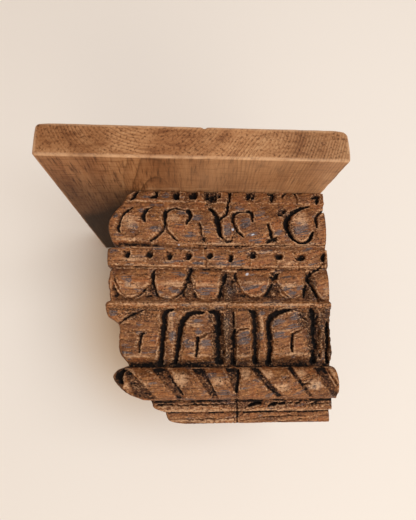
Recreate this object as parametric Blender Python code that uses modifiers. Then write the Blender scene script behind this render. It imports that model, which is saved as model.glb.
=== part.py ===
"""Carved wall shelf bracket: a plank over two carved wood blocks, joined at an upright seam.

The bracket hangs upright with its back in the plane y = 0. +Z is up, the carved front faces -Y, and
the origin is on the back, midway across the plank and midway up the whole bracket. The mouldings
run along the front and return round the left side. The right end is sawn flat.
"""

import math

import bmesh
import bpy

# The plank
PLANK_WIDTH = 0.200
PLANK_DEPTH = 0.245
PLANK_THICKNESS = 0.022
PLANK_ARRIS = 0.0016
NICK_FROM_LEFT = 0.108
NICK_RADIUS = 0.0035

# The carved blocks. Width and depth reach from the drilled band to the right end and to the back
BLOCK_WIDTH = 0.1614
BLOCK_DEPTH = 0.1905
SEAM_FROM_LEFT = 0.0900
SEAM_LEAN = math.radians(1.2)
JOINT_GAP = 0.0003

# Heights of the mouldings, from the plank down
HOLES_HEIGHT = 0.0105
SCROLLS_HEIGHT = 0.0305
QUIRK_HEIGHT = 0.0035
BAND_HEIGHT = 0.0140
CHANNEL_HEIGHT = 0.0015
LUNETTES_HEIGHT = 0.0230
BEAD_HEIGHT = 0.0060
ARCHES_HEIGHT = 0.0350
SHADOW_HEIGHT = 0.0055
ROPE_HEIGHT = 0.0215
STEP_HEIGHT = 0.0090
FOOT_HEIGHT = 0.0093

# How far each moulding stands back from the drilled band: on the front, then on the left side
HOLES_TOP_BACK = (0.0010, 0.0170)
HOLES_BACK = (0.0000, 0.0092)
HOLES_SWELL = (0.0003, 0.0018)
SCROLLS_BACK = (0.0022, 0.0078)
SCROLLS_FOOT_BACK = (0.0012, 0.0030)
SCROLLS_SWELL = (0.0032, 0.0052)
QUIRK_BACK = (0.0050, 0.0080)
CHANNEL_BACK = (0.0025, 0.0035)
LUNETTES_BACK = (0.0006, 0.0014)
BEAD_BACK = (-0.0018, 0.0002)
BEAD_ROUND = 0.0016
ARCHES_TOP_BACK = (0.0006, 0.0022)
ARCHES_BACK = (0.0032, 0.0100)
ROPE_SIDE_BULGE = (0.0010, 0.0020)  # above and below the belly of its returned side
SHOULDER_SHARE = 0.36  # share of the arch band that slopes in below the bead
CAVETTO_BACK = (0.0080, 0.0140)
SHADOW_BACK = (0.0115, 0.0165)
ROPE_BACK = (0.0040, 0.0150)
ROPE_SWELL = (0.0110, 0.0072)
STEP_BACK = (0.0105, 0.0330)
FOOT_BACK = (0.0180, 0.0428)
ROPE_RETURN_BACK = 0.0265  # the rope sweeps inwards under the left corner, to here
CAVETTO_SHARE = 0.30  # share of the arch band that curves in below the arches

# Carving, measured along a face from its left, or front, end
HOLE_RADIUS, HOLE_DEPTH = 0.0028, 0.0045
DRILL_RADIUS, DRILL_DEPTH = 0.0026, 0.0055
SCROLL_DEPTH = 0.0050
SPANDREL_DEPTH = 0.0042
ARCH_GROOVE, ARCH_DEPTH = 0.0034, 0.0065
ARCH_CROWN_DROP, ARCH_FOOT_RISE = 0.0035, 0.0015  # how far each arch stays inside its band
POST_TOP_DROP, POST_FOOT_RISE = 0.0020, 0.0010  # the same for the upright grooves
SLOT_WIDTH, SLOT_DEPTH = 0.0022, 0.0045
ROPE_STRIP_BACK = 0.0038  # how far a rough strip is cut behind the strands
ROPE_STRIP_PAST = 0.0012  # each strip's cutter runs past the roll's edges
ROPE_SLANT = 0.0150  # how far a strand runs sideways from the top of the rope to its foot
SCROLL_RADIUS = 0.0084
CRESCENT_WIDTH = 0.0030
CRESCENT_STEPS = 6
LUNETTE_STEPS = 5
LUNETTE_REACH = math.radians(78)  # the ground stops short of a half round's lowest point
ARCH_STEPS = 6
PROUD = 0.020  # how far each cutter starts outside the wood

# Left block: first place and pitch of each row along the front
LEFT_HOLES = (0.0175, 0.0143)
LEFT_DRILLS = (0.0134, 0.0150)
LEFT_LUNETTES = (0.0196, 0.0257)
LEFT_SCROLLS = (0.0153, 0.0344)
LEFT_ARCHES = ((0.0256, 0.0140), (0.0657, 0.0110))
LEFT_POSTS = ((0.0812, 0.0024), (0.0892, 0.0042))
LEFT_ROPE_STRIPS = ((0.0350, 0.0100), (0.0640, 0.0060))

# Right block: the same, measured from the seam
RIGHT_HOLES = (0.0147, 0.0171)
RIGHT_DRILLS = (0.0145, 0.0179)
RIGHT_LUNETTES = (0.0166, 0.0287)
RIGHT_SCROLLS = (0.0089, 0.0447)
RIGHT_ARCHES = ((0.0010, 0.0125), (0.0425, 0.0140))
RIGHT_POSTS = ((0.0176, 0.0022), (0.0685, 0.0026))
RIGHT_ROPE_STRIPS = ((0.0040, 0.0110), (0.0375, 0.0045), (0.0550, 0.0090))

# Left side: the same rows, plainer, measured from the front corner
SIDE_HOLES = (0.0170, 0.0180)
SIDE_DRILLS = (0.0140, 0.0170)
SIDE_LUNETTES = (0.0200, 0.0270)
SIDE_SCROLLS = (0.0250, 0.0400)
SIDE_ARCHES = (0.0300, 0.0400)
SIDE_ARCH_HALF = 0.0130
SIDE_STRIPS = (0.0220, 0.0290)
SIDE_STRIP_WIDTH = 0.0090

FRONT, SIDE = 0, 1

BLOCK_HEIGHT = sum((
    HOLES_HEIGHT, SCROLLS_HEIGHT, QUIRK_HEIGHT, BAND_HEIGHT, CHANNEL_HEIGHT, LUNETTES_HEIGHT,
    BEAD_HEIGHT, ARCHES_HEIGHT, SHADOW_HEIGHT, ROPE_HEIGHT, STEP_HEIGHT, FOOT_HEIGHT))
TOP = (PLANK_THICKNESS + BLOCK_HEIGHT) / 2
PLANK_FOOT = TOP - PLANK_THICKNESS
HOLES_TOP = PLANK_FOOT
SCROLLS_TOP = HOLES_TOP - HOLES_HEIGHT
QUIRK_TOP = SCROLLS_TOP - SCROLLS_HEIGHT
BAND_TOP = QUIRK_TOP - QUIRK_HEIGHT
CHANNEL_TOP = BAND_TOP - BAND_HEIGHT
LUNETTES_TOP = CHANNEL_TOP - CHANNEL_HEIGHT
BEAD_TOP = LUNETTES_TOP - LUNETTES_HEIGHT
ARCHES_TOP = BEAD_TOP - BEAD_HEIGHT
SHADOW_TOP = ARCHES_TOP - ARCHES_HEIGHT
ROPE_TOP = SHADOW_TOP - SHADOW_HEIGHT
STEP_TOP = ROPE_TOP - ROPE_HEIGHT
FOOT_TOP = STEP_TOP - STEP_HEIGHT
BOTTOM = FOOT_TOP - FOOT_HEIGHT

PLANK_LEFT = -PLANK_WIDTH / 2
RIGHT_END = PLANK_WIDTH / 2
BAND_LEFT = RIGHT_END - BLOCK_WIDTH
BAND_FRONT = -BLOCK_DEPTH
SEAM = BAND_LEFT + SEAM_FROM_LEFT


def seam_at(z):
    """x of the seam at height z: it leans, with its foot to the right."""
    middle = (HOLES_TOP + BOTTOM) / 2
    return SEAM + (middle - z) * math.tan(SEAM_LEAN)


def clear_scene():
    for obj in list(bpy.data.objects):
        bpy.data.objects.remove(obj, do_unlink=True)


def new_collection(name):
    collection = bpy.data.collections.new(name)
    bpy.context.scene.collection.children.link(collection)
    return collection


def wood(name, colour, roughness):
    """A wood finish for one piece, from its colour and roughness."""
    material = bpy.data.materials.new(name)
    material.use_nodes = True
    shader = material.node_tree.nodes["Principled BSDF"]
    shader.inputs["Base Color"].default_value = (*colour, 1.0)
    shader.inputs["Roughness"].default_value = roughness
    shader.inputs["Metallic"].default_value = 0.0
    material.diffuse_color = (*colour, 1.0)
    return material


def as_helper(obj):
    obj.hide_render = True
    obj.display_type = "WIRE"
    return obj


def prism(name, outline, face, start, end, collection):
    """A flat outline given thickness: for the front, (x, z) points run from y = start to end,
    and for the side, (y, z) points run from x = start to end."""
    curve = bpy.data.curves.new(name, "CURVE")
    curve.dimensions = "2D"
    curve.fill_mode = "BOTH"
    curve.extrude = (end - start) / 2
    spline = curve.splines.new("POLY")
    spline.points.add(len(outline) - 1)
    for point, (across, z) in zip(spline.points, outline):
        point.co = (across, z, 0.0, 1.0)
    spline.use_cyclic_u = True
    flat = bpy.data.objects.new(name + "_outline", curve)
    collection.objects.link(flat)
    bpy.context.view_layer.update()
    mesh = bpy.data.meshes.new_from_object(flat.evaluated_get(bpy.context.evaluated_depsgraph_get()))
    bpy.data.objects.remove(flat, do_unlink=True)
    middle = (start + end) / 2
    for vertex in mesh.vertices:
        across, z, depth = vertex.co
        vertex.co = (across, middle + depth, z) if face == FRONT else (middle + depth, across, z)
    tidy = bmesh.new()
    tidy.from_mesh(mesh)
    bmesh.ops.remove_doubles(tidy, verts=tidy.verts, dist=1e-7)
    bmesh.ops.recalc_face_normals(tidy, faces=tidy.faces)
    tidy.to_mesh(mesh)
    tidy.free()
    solid = bpy.data.objects.new(name, mesh)
    collection.objects.link(solid)
    return solid


def swell(top, foot, back_top, back_foot, out, steps=6):
    """A convex stretch of profile: (back, z) points from top to foot that bulge outwards by out."""
    points = []
    for step in range(steps + 1):
        share = step / steps
        back = back_top + (back_foot - back_top) * share - out * math.sin(math.pi * share)
        points.append((back, top + (foot - top) * share))
    return points


def cavetto(top, foot, back_top, back_foot, steps=4):
    """A concave quarter round: it starts upright and turns inwards towards its foot."""
    return [(back_top + (back_foot - back_top) * (1 - math.cos(math.pi / 2 * step / steps)),
             top + (foot - top) * math.sin(math.pi / 2 * step / steps)) for step in range(steps + 1)]


def roll(top, foot, back, out, steps=8):
    """A half round that stands out by out between top and foot."""
    return [(back - out * math.sin(math.pi * step / steps),
             (top + foot) / 2 + (top - foot) / 2 * math.cos(math.pi * step / steps))
            for step in range(steps + 1)]


def profile(face):
    """The mouldings' profile as (distance behind the drilled band, z), from the plank down."""
    arches_foot = SHADOW_TOP + CAVETTO_SHARE * ARCHES_HEIGHT
    shoulder = ARCHES_TOP - SHOULDER_SHARE * ARCHES_HEIGHT
    points = swell(HOLES_TOP - JOINT_GAP, SCROLLS_TOP, HOLES_TOP_BACK[face], HOLES_BACK[face], HOLES_SWELL[face], 4)
    points += swell(SCROLLS_TOP, QUIRK_TOP, SCROLLS_BACK[face], SCROLLS_FOOT_BACK[face], SCROLLS_SWELL[face])
    points += [(QUIRK_BACK[face], QUIRK_TOP), (QUIRK_BACK[face], BAND_TOP), (0.0, BAND_TOP), (0.0, CHANNEL_TOP)]
    points += [(CHANNEL_BACK[face], CHANNEL_TOP), (CHANNEL_BACK[face], LUNETTES_TOP)]
    points += [(LUNETTES_BACK[face], LUNETTES_TOP), (LUNETTES_BACK[face], BEAD_TOP)]
    points += [(BEAD_BACK[face] + BEAD_ROUND / 2, BEAD_TOP), (BEAD_BACK[face], BEAD_TOP - BEAD_ROUND),
               (BEAD_BACK[face], ARCHES_TOP + BEAD_ROUND), (BEAD_BACK[face] + BEAD_ROUND / 2, ARCHES_TOP)]
    points += swell(ARCHES_TOP, shoulder, ARCHES_TOP_BACK[face], ARCHES_BACK[face], 0.0, 2)
    points += cavetto(arches_foot, SHADOW_TOP, ARCHES_BACK[face], CAVETTO_BACK[face])
    points += [(SHADOW_BACK[face], SHADOW_TOP), (SHADOW_BACK[face], ROPE_TOP)]
    if face == FRONT:
        points += roll(ROPE_TOP, STEP_TOP, ROPE_BACK[face], ROPE_SWELL[face])
    else:
        belly = ROPE_TOP - ROPE_HEIGHT / 4
        points += swell(ROPE_TOP, belly, ROPE_BACK[face], ROPE_BACK[face] - ROPE_SWELL[face],
                        ROPE_SIDE_BULGE[0], 3)
        points += swell(belly, STEP_TOP, ROPE_BACK[face] - ROPE_SWELL[face], ROPE_RETURN_BACK,
                        ROPE_SIDE_BULGE[1], 5)[1:]
    points += [(STEP_BACK[face], STEP_TOP), (STEP_BACK[face], FOOT_TOP)]
    points += [(FOOT_BACK[face], FOOT_TOP), (FOOT_BACK[face], BOTTOM)]
    return points


def places(row, limit):
    """Where the copies of a row stand: from its first place, a pitch apart, up to limit."""
    first, pitch = row
    return [first + pitch * step for step in range(max(0, int((limit - first) / pitch) + 1))]


class Carver:
    """Makes the cutters of one face of one block. Places are distances from origin along the face."""

    def __init__(self, name, face, origin, collection):
        self.name, self.face, self.origin, self.collection = name, face, origin, collection

    def cut(self, outline, back, depth):
        """Carves an outline of (along, z) points to a depth behind a moulding that stands at back."""
        plane = (BAND_FRONT if self.face == FRONT else BAND_LEFT) + back
        outline = [(self.origin + along, z) for along, z in outline]
        name = f"{self.name}_{len(self.collection.objects)}"
        as_helper(prism(name, outline, self.face, plane - PROUD, plane + depth, self.collection))

    def bore(self, along, z, back, radius, depth, sides):
        """A hole cut by a gouge or a drill: a tapered plug with few sides."""
        plane = (BAND_FRONT if self.face == FRONT else BAND_LEFT) + back
        turn = (math.pi / 2, 0.0, 0.0) if self.face == FRONT else (0.0, -math.pi / 2, 0.0)
        length = 2 * depth
        spot = (self.origin + along, plane, z) if self.face == FRONT else (plane, self.origin + along, z)
        bpy.ops.mesh.primitive_cone_add(vertices=sides, radius1=radius * 0.55, radius2=radius * 1.45,
                                        depth=length, location=spot, rotation=turn)
        plug = as_helper(bpy.context.object)
        plug.name = f"{self.name}_{len(self.collection.objects)}"
        for old in list(plug.users_collection):
            old.objects.unlink(plug)
        self.collection.objects.link(plug)

    def crescent(self, along, z, radius, start, sweep, width=CRESCENT_WIDTH):
        """A curved groove with pointed ends: its width swells as a half sine along its arc."""
        outer, inner = [], []
        for step in range(CRESCENT_STEPS + 1):
            share = step / CRESCENT_STEPS
            angle = math.radians(start + sweep * share)
            half = width / 2 * math.sin(math.pi * share)
            outer.append((along + (radius + half) * math.cos(angle), z + (radius + half) * math.sin(angle)))
            if 0 < step < CRESCENT_STEPS:
                inner.append((along + (radius - half) * math.cos(angle), z + (radius - half) * math.sin(angle)))
        swelled = SCROLLS_BACK[self.face] - SCROLLS_SWELL[self.face]
        self.cut(outer + inner[::-1], swelled, SCROLL_DEPTH)

    def scroll(self, along):
        """One scroll: a disc in a deep crescent, a comma over its right shoulder and a lobe beside it."""
        z = (SCROLLS_TOP + QUIRK_TOP) / 2
        self.crescent(along, z, SCROLL_RADIUS, 80, 170)
        self.crescent(along + 1.35 * SCROLL_RADIUS, z + 0.95 * SCROLL_RADIUS, 0.55 * SCROLL_RADIUS, 100, 140)
        self.crescent(along + 1.25 * SCROLL_RADIUS, z - 0.1 * SCROLL_RADIUS, 1.2 * SCROLL_RADIUS, -75, 120)

    def spandrels(self, centres, pitch):
        """The ground between hanging half rounds, cut back below their curved edges."""
        half, drop = 0.46 * pitch, 0.86 * LUNETTES_HEIGHT
        top = LUNETTES_TOP - 0.04 * LUNETTES_HEIGHT
        for centre in [centres[0] - pitch] + centres:
            following = centre + pitch
            outline = []
            for step in range(LUNETTE_STEPS + 1):
                angle = LUNETTE_REACH * (1 - step / LUNETTE_STEPS)
                outline.append((centre + half * math.cos(angle), top - drop * math.sin(angle)))
            for step in range(LUNETTE_STEPS + 1):
                angle = LUNETTE_REACH * step / LUNETTE_STEPS
                outline.append((following - half * math.cos(angle), top - drop * math.sin(angle)))
            self.cut(outline, LUNETTES_BACK[self.face], SPANDREL_DEPTH)

    def arch(self, centre, half):
        """A round-headed petal inside its groove, with a key-shaped slot in its middle."""
        spring = ARCHES_TOP - ARCH_CROWN_DROP - half
        foot = SHADOW_TOP + ARCH_FOOT_RISE
        back = ARCHES_BACK[self.face]
        outer = [(centre - half - ARCH_GROOVE, foot)]
        inner = [(centre - half, foot)]
        for step in range(ARCH_STEPS + 1):
            angle = math.pi * (1 - step / ARCH_STEPS)
            cosine, sine = math.cos(angle), math.sin(angle)
            outer.append((centre + (half + ARCH_GROOVE) * cosine, spring + (half + 0.6 * ARCH_GROOVE) * sine))
            inner.append((centre + half * cosine, spring + (half - ARCH_GROOVE) * sine))
        outer.append((centre + half + ARCH_GROOVE, foot))
        inner.append((centre + half, foot))
        self.cut(outer + inner[::-1], back, ARCH_DEPTH)
        slot_top = ARCHES_TOP - 0.45 * ARCHES_HEIGHT
        slot_foot = ARCHES_TOP - 0.84 * ARCHES_HEIGHT
        self.cut([(centre - SLOT_WIDTH, slot_top), (centre + 2.6 * SLOT_WIDTH, slot_top + SLOT_WIDTH),
                  (centre + SLOT_WIDTH / 2, slot_top - 1.5 * SLOT_WIDTH), (centre, slot_foot)], back, SLOT_DEPTH)

    def post_groove(self, centre, width):
        """An upright groove that leaves a narrow post beside an arch."""
        top, foot = ARCHES_TOP - POST_TOP_DROP, SHADOW_TOP + POST_FOOT_RISE
        self.cut([(centre - width / 2, top), (centre + width / 2, top), (centre + 0.4 * width, foot),
                  (centre - 0.4 * width, foot)], ARCHES_BACK[self.face], ARCH_DEPTH)

    def rope_strip(self, along, width):
        """A rough flat strip between two strands, slanting down the rope and away from the corner."""
        crown = ROPE_BACK[self.face] - ROPE_SWELL[self.face]
        top, foot = ROPE_TOP + ROPE_STRIP_PAST, STEP_TOP - ROPE_STRIP_PAST
        self.cut([(along, top), (along + width, top), (along + width + ROPE_SLANT, foot),
                  (along + ROPE_SLANT, foot)], crown, ROPE_STRIP_BACK)

    def holes(self, row, limit):
        for along in places(row, limit):
            self.bore(along, HOLES_TOP - HOLES_HEIGHT / 2, HOLES_BACK[self.face], HOLE_RADIUS, HOLE_DEPTH, 5)

    def drills(self, row, limit):
        for along in places(row, limit):
            self.bore(along, BAND_TOP - 0.42 * BAND_HEIGHT, 0.0, DRILL_RADIUS, DRILL_DEPTH, 7)


def carve_front(carver, length, holes, scrolls, drills, lunettes, arches, posts, strips):
    """Cuts the rows of one block's front, from its left end over the given length."""
    carver.holes(holes, length - 2 * HOLE_RADIUS)
    for along in places(scrolls, length - SCROLL_RADIUS):
        carver.scroll(along)
    carver.drills(drills, length - DRILL_RADIUS)
    carver.spandrels(places(lunettes, length), lunettes[1])
    for centre, half in arches:
        carver.arch(centre, half)
    for centre, width in posts:
        carver.post_groove(centre, width)
    for along, width in strips:
        carver.rope_strip(along, width)


def carve_side(carver, length):
    """Cuts the returned rows of the left side, from the front corner to the back."""
    carver.holes(SIDE_HOLES, length - SIDE_HOLES[1] / 2)
    for along in places(SIDE_SCROLLS, length - 3 * SCROLL_RADIUS):
        carver.scroll(along)
    carver.drills(SIDE_DRILLS, length - SIDE_DRILLS[1] / 2)
    carver.spandrels(places(SIDE_LUNETTES, length), SIDE_LUNETTES[1])
    for centre in places(SIDE_ARCHES, length - SIDE_ARCH_HALF - ARCH_GROOVE):
        carver.arch(centre, SIDE_ARCH_HALF)
    for along in places(SIDE_STRIPS, length):
        carver.rope_strip(along, SIDE_STRIP_WIDTH)


def boolean(obj, operation, **operand):
    modifier = obj.modifiers.new(operation.title(), "BOOLEAN")
    modifier.operation = operation
    modifier.solver = "EXACT"
    for key, value in operand.items():
        setattr(modifier, key, value)
    return modifier


def make_block(name, left_edge, right_edge, finish, bracket, helpers, cutters):
    """A block: its front profile run sideways, cut to its shape as seen from the front, then carved."""
    front = [(BAND_FRONT + back, z) for back, z in profile(FRONT)]
    front += [(0.0, BOTTOM), (0.0, HOLES_TOP - JOINT_GAP)]
    block = prism(name, front, SIDE, BAND_LEFT - PROUD, RIGHT_END + PROUD, bracket)
    block.data.materials.append(finish)
    shape = prism(name + "_shape", left_edge + right_edge[::-1], FRONT, BAND_FRONT - 2 * PROUD, PROUD, helpers)
    boolean(block, "INTERSECT", object=as_helper(shape))
    boolean(block, "DIFFERENCE", operand_type="COLLECTION", collection=cutters)
    return block


def make_plank(finish, bracket, helpers):
    """The shelf board: a box with eased arrises and a small nick in the top edge of its front."""
    bpy.ops.mesh.primitive_cube_add(size=1.0, location=(0.0, -PLANK_DEPTH / 2, TOP - PLANK_THICKNESS / 2))
    plank = bpy.context.object
    plank.name = plank.data.name = "shelf_board"
    plank.scale = (PLANK_WIDTH, PLANK_DEPTH, PLANK_THICKNESS)
    bpy.ops.object.transform_apply(location=False, rotation=False, scale=True)
    for old in list(plank.users_collection):
        old.objects.unlink(plank)
    bracket.objects.link(plank)
    plank.data.materials.append(finish)
    eased = plank.modifiers.new("Eased arrises", "BEVEL")
    eased.width = PLANK_ARRIS
    eased.segments = 3
    bpy.ops.mesh.primitive_cone_add(vertices=5, radius1=NICK_RADIUS, radius2=NICK_RADIUS / 2, depth=2 * NICK_RADIUS,
                                    location=(PLANK_LEFT + NICK_FROM_LEFT, -PLANK_DEPTH, TOP + NICK_RADIUS / 2))
    nick = as_helper(bpy.context.object)
    nick.name = "nick"
    for old in list(nick.users_collection):
        old.objects.unlink(nick)
    helpers.objects.link(nick)
    boolean(plank, "DIFFERENCE", object=nick)
    return plank


def main():
    clear_scene()
    bracket = new_collection("carved_shelf_bracket")
    helpers = new_collection("helpers")
    left_cutters = new_collection("left_cutters")
    right_cutters = new_collection("right_cutters")
    board_wood = wood("board wood", (0.33, 0.20, 0.10), 0.62)
    carved_wood = wood("weathered carved wood", (0.25, 0.125, 0.058), 0.72)

    top, foot = HOLES_TOP - JOINT_GAP, BOTTOM
    gap = JOINT_GAP / 2
    left_side = [(BAND_LEFT + back, z) for back, z in profile(SIDE)]
    seam_left = [(seam_at(top) - gap, top), (seam_at(foot) - gap, foot)]
    seam_right = [(seam_at(top) + gap, top), (seam_at(foot) + gap, foot)]
    right_end = [(RIGHT_END, top), (RIGHT_END, foot)]

    left_front = Carver("left_cut", FRONT, BAND_LEFT, left_cutters)
    carve_front(left_front, SEAM_FROM_LEFT, LEFT_HOLES, LEFT_SCROLLS, LEFT_DRILLS, LEFT_LUNETTES,
                LEFT_ARCHES, LEFT_POSTS, LEFT_ROPE_STRIPS)
    carve_side(Carver("side_cut", SIDE, BAND_FRONT, left_cutters), BLOCK_DEPTH)
    right_front = Carver("right_cut", FRONT, SEAM, right_cutters)
    carve_front(right_front, RIGHT_END - SEAM, RIGHT_HOLES, RIGHT_SCROLLS, RIGHT_DRILLS, RIGHT_LUNETTES,
                RIGHT_ARCHES, RIGHT_POSTS, RIGHT_ROPE_STRIPS)

    make_plank(board_wood, bracket, helpers)
    make_block("carved_block_left", left_side, seam_left, carved_wood, bracket, helpers, left_cutters)
    make_block("carved_block_right", seam_right, right_end, carved_wood, bracket, helpers, right_cutters)


main()
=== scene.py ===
# %% [markdown]
# # A carved shelf bracket
# The real object is a plain thick board over an old block of carved wood, made for a wall. The
# photograph shows it lying on its back on a pale surface, with its carved front to the camera.
# The carving runs in bands: cut holes, scrolls, drilled holes, hanging half rounds, a bead, arches
# on posts, a rope and two small steps. It could be sculpted by hand or cut with booleans. Here each
# block is one fine grid whose depth is worked out as arrays, because a depth that is a sum of simple
# functions is easy to place in millimetres, to repeat and to change.

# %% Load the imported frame
import math

import bpy
import numpy as np
from mathutils import Matrix, Vector


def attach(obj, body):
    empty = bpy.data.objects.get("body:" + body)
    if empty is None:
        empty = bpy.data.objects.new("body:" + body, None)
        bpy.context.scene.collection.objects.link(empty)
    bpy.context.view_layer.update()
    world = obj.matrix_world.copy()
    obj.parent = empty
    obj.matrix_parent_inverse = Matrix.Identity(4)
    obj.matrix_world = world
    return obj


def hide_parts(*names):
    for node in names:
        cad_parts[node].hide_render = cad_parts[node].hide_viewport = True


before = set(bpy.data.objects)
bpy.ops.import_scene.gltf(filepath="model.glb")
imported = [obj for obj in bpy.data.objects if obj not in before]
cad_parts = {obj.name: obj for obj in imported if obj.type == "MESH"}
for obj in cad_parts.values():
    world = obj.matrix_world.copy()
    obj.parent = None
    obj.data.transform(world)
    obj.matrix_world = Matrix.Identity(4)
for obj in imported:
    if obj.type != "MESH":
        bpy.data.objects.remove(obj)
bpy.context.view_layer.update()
print("frame:", sorted(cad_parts))

# %% [markdown]
# ## Millimetres on the wood
# All sizes below are in millimetres: u runs right from the board's left edge, v runs down from the
# board's underside, and w runs back from the board's front edge. A maker measures carving this way,
# and one function carries the three to Blender's metres.

# %% Where things are
BOARD_WIDTH, BOARD_DEPTH, BOARD_THICKNESS = 200.0, 245.0, 22.0
UNDERSIDE = 73.65  # height of the board's underside above the middle of the bracket
BLOCK_FOOT = 169.3
BAND_LEFT, BAND_FRONT = 38.6, 54.5  # left edge and front of the drilled band
RIGHT_END = 200.0
SEAM_AT_MIDDLE, SEAM_LEAN, MIDDLE = 128.6, math.tan(math.radians(1.2)), 84.65
SEAM_GAP = 0.05


def to_metres(u, w, v):
    """Row frame places: x is u from the middle of the board, y is w from the wall, z is v from the
    underside, all divided by 1000."""
    u, w, v = np.broadcast_arrays(u, w, v)
    return np.stack([u - BOARD_WIDTH / 2, w - BOARD_DEPTH, UNDERSIDE - v], axis=-1) / 1000


def seam_at(v):
    """The joint between the two blocks: it leans, so u grows with v."""
    return SEAM_AT_MIDDLE + (v - MIDDLE) * SEAM_LEAN


print("board", BOARD_WIDTH, BOARD_DEPTH, BOARD_THICKNESS, "seam", round(seam_at(0), 1),
      round(seam_at(BLOCK_FOOT), 1))

# %% [markdown]
# ## Noise and cuts
# Weathered carving has two parts: clean tool cuts, and wear. A cut is a curve with a width that
# changes along it, so its depth depends only on the distance to that curve. Wear is value noise:
# random numbers on a lattice, blended smoothly, and stretched along the grain.


# %% Smooth steps and noise
def step(x):
    """0 below 0, 1 above 1, and 3x squared minus 2x cubed between."""
    x = np.clip(x, 0.0, 1.0)
    return x * x * (3 - 2 * x)


def lattice(x, y, seed):
    """Value noise: a fixed random number at each whole (x, y), blended by smooth steps between the
    four nearest, from -1 to 1."""
    table = np.random.default_rng(seed).uniform(-1, 1, (256, 256))
    column, row = np.floor(x).astype(int), np.floor(y).astype(int)
    across, down = step(x - column), step(y - row)
    here, right = table[row % 256, column % 256], table[row % 256, (column + 1) % 256]
    below, corner = table[(row + 1) % 256, column % 256], table[(row + 1) % 256, (column + 1) % 256]
    upper, lower = here * (1 - across) + right * across, below * (1 - across) + corner * across
    return upper * (1 - down) + lower * down


def cloud(x, y, seed, octaves=3):
    """A sum of value noises, each twice as fine and half as strong as the one before."""
    total = sum(lattice(x * 2**k + 17.3 * k, y * 2**k + 9.1 * k, seed + k) / 2**k for k in range(octaves))
    return total / (2 - 2 ** (1 - octaves))


print("noise from", round(float(cloud(np.arange(99) * 0.37, np.arange(99) * 0.21, 1).min()), 2))


# %% Cuts along curves, and pits
def smooth_curve(points, parts=6):
    """A curve through (u, v, half width) points: between two of them a cubic, whose slope at each
    point is half the step from the point before to the point after."""
    p = np.array(points, float)
    p = np.concatenate([p[:1], p, p[-1:]])
    t = (np.arange(parts) / parts)[:, None]
    before, start, end, after = (p[k:len(p) - 3 + k, None] for k in range(4))
    cubic = 0.5 * (2 * start + (end - before) * t + (2 * before - 5 * start + 4 * end - after) * t**2
                   + (3 * start - before - 3 * end + after) * t**3)
    return np.concatenate([cubic.reshape(-1, 3), p[-1:]])


def groove(u, v, points, depth, edge=0.7):
    """Depth of a V cut: deepest on the curve, and less by the share of the half width away from it,
    over a steep step at its rim, with the wood's lip worn down beyond that."""
    curve = smooth_curve(points)
    reach = curve[:, 2].max() + 3.0
    near = ((u > curve[:, 0].min() - reach) & (u < curve[:, 0].max() + reach)
            & (v > curve[:, 1].min() - reach) & (v < curve[:, 1].max() + reach))
    result = np.zeros_like(u)
    if not near.any():
        return result
    pu, pv = u[near][:, None], v[near][:, None]
    start, run = curve[:-1], np.diff(curve, axis=0)
    along = ((pu - start[:, 0]) * run[:, 0] + (pv - start[:, 1]) * run[:, 1]) / (run[:, 0]**2 + run[:, 1]**2
                                                                                 + 1e-9)
    along = np.clip(along, 0, 1)
    gap = np.hypot(pu - start[:, 0] - along * run[:, 0], pv - start[:, 1] - along * run[:, 1])
    half = start[:, 2] + along * run[:, 2]
    nearest = np.argmin(gap - half, axis=1)[:, None]
    gap, half = (np.take_along_axis(grid, nearest, axis=1)[:, 0] for grid in (gap, half))
    rim = step(0.5 - (gap - half) / edge)
    section = 0.28 + 0.72 * np.clip(1 - gap / (half + 0.2), 0, 1) ** 0.8
    lip = 0.20 * depth * np.exp(-(np.maximum(gap - half, 0) / 1.6)**1.5)
    result[near] = depth * rim * section + lip * (1 - rim)
    return result


def pit(u, v, place, size, depth, square=2.0, edge=0.35, slant=0.0):
    """Depth of a hole: inside where the sum of (u/ru) and (v/rv), each to the power square, is under
    1, and deepest a third of the way to the lower right, where the gouge went in. A larger power
    gives squarer corners, and slant shears the hole sideways as it goes down."""
    pv = (v - place[1]) / size[1]
    pu = (u - place[0] - slant * (v - place[1])) / size[0]
    rho = (np.abs(pu)**square + np.abs(pv)**square) ** (1 / square)
    bottom = np.hypot(pu - 0.3, pv - 0.35)
    return depth * step((1 - rho) / edge + 0.5) * (0.25 + 0.75 * np.clip(1.1 - bottom, 0, 1))


def dome(u, v, place, size, height):
    """A low cushion: height times (1 - rho squared) to the power 0.6, and nothing outside it."""
    rho = ((u - place[0]) / size[0])**2 + ((v - place[1]) / size[1])**2
    return -height * np.clip(1 - rho, 0, 1) ** 0.6


print("a test cut is", round(float(groove(np.array([[1.0]]), np.array([[0.1]]), [(0, 0, 1), (2, 0, 1)],
                                          3.0)[0, 0]), 2), "mm deep")

# %% [markdown]
# ## The mouldings' profile
# Seen from the end, a moulding is one line, here a list of stations. Each station gives v, how far
# the front stands behind the drilled band, and how far the left side does. Rows of the mesh are
# spread along this line by its length, and a light blur rounds each worn edge.


# %% Stations of the profile
def between(v0, v1, front, side, out=(0.0, 0.0), parts=14):
    """A stretch of moulding: straight from start to end, less out times a half sine wave."""
    t = np.linspace(0, 1, parts)
    hump = np.sin(np.pi * t)
    return np.stack([v0 + (v1 - v0) * t, front[0] + (front[1] - front[0]) * t - out[0] * hump,
                     side[0] + (side[1] - side[0]) * t - out[1] * hump], axis=1)


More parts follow.
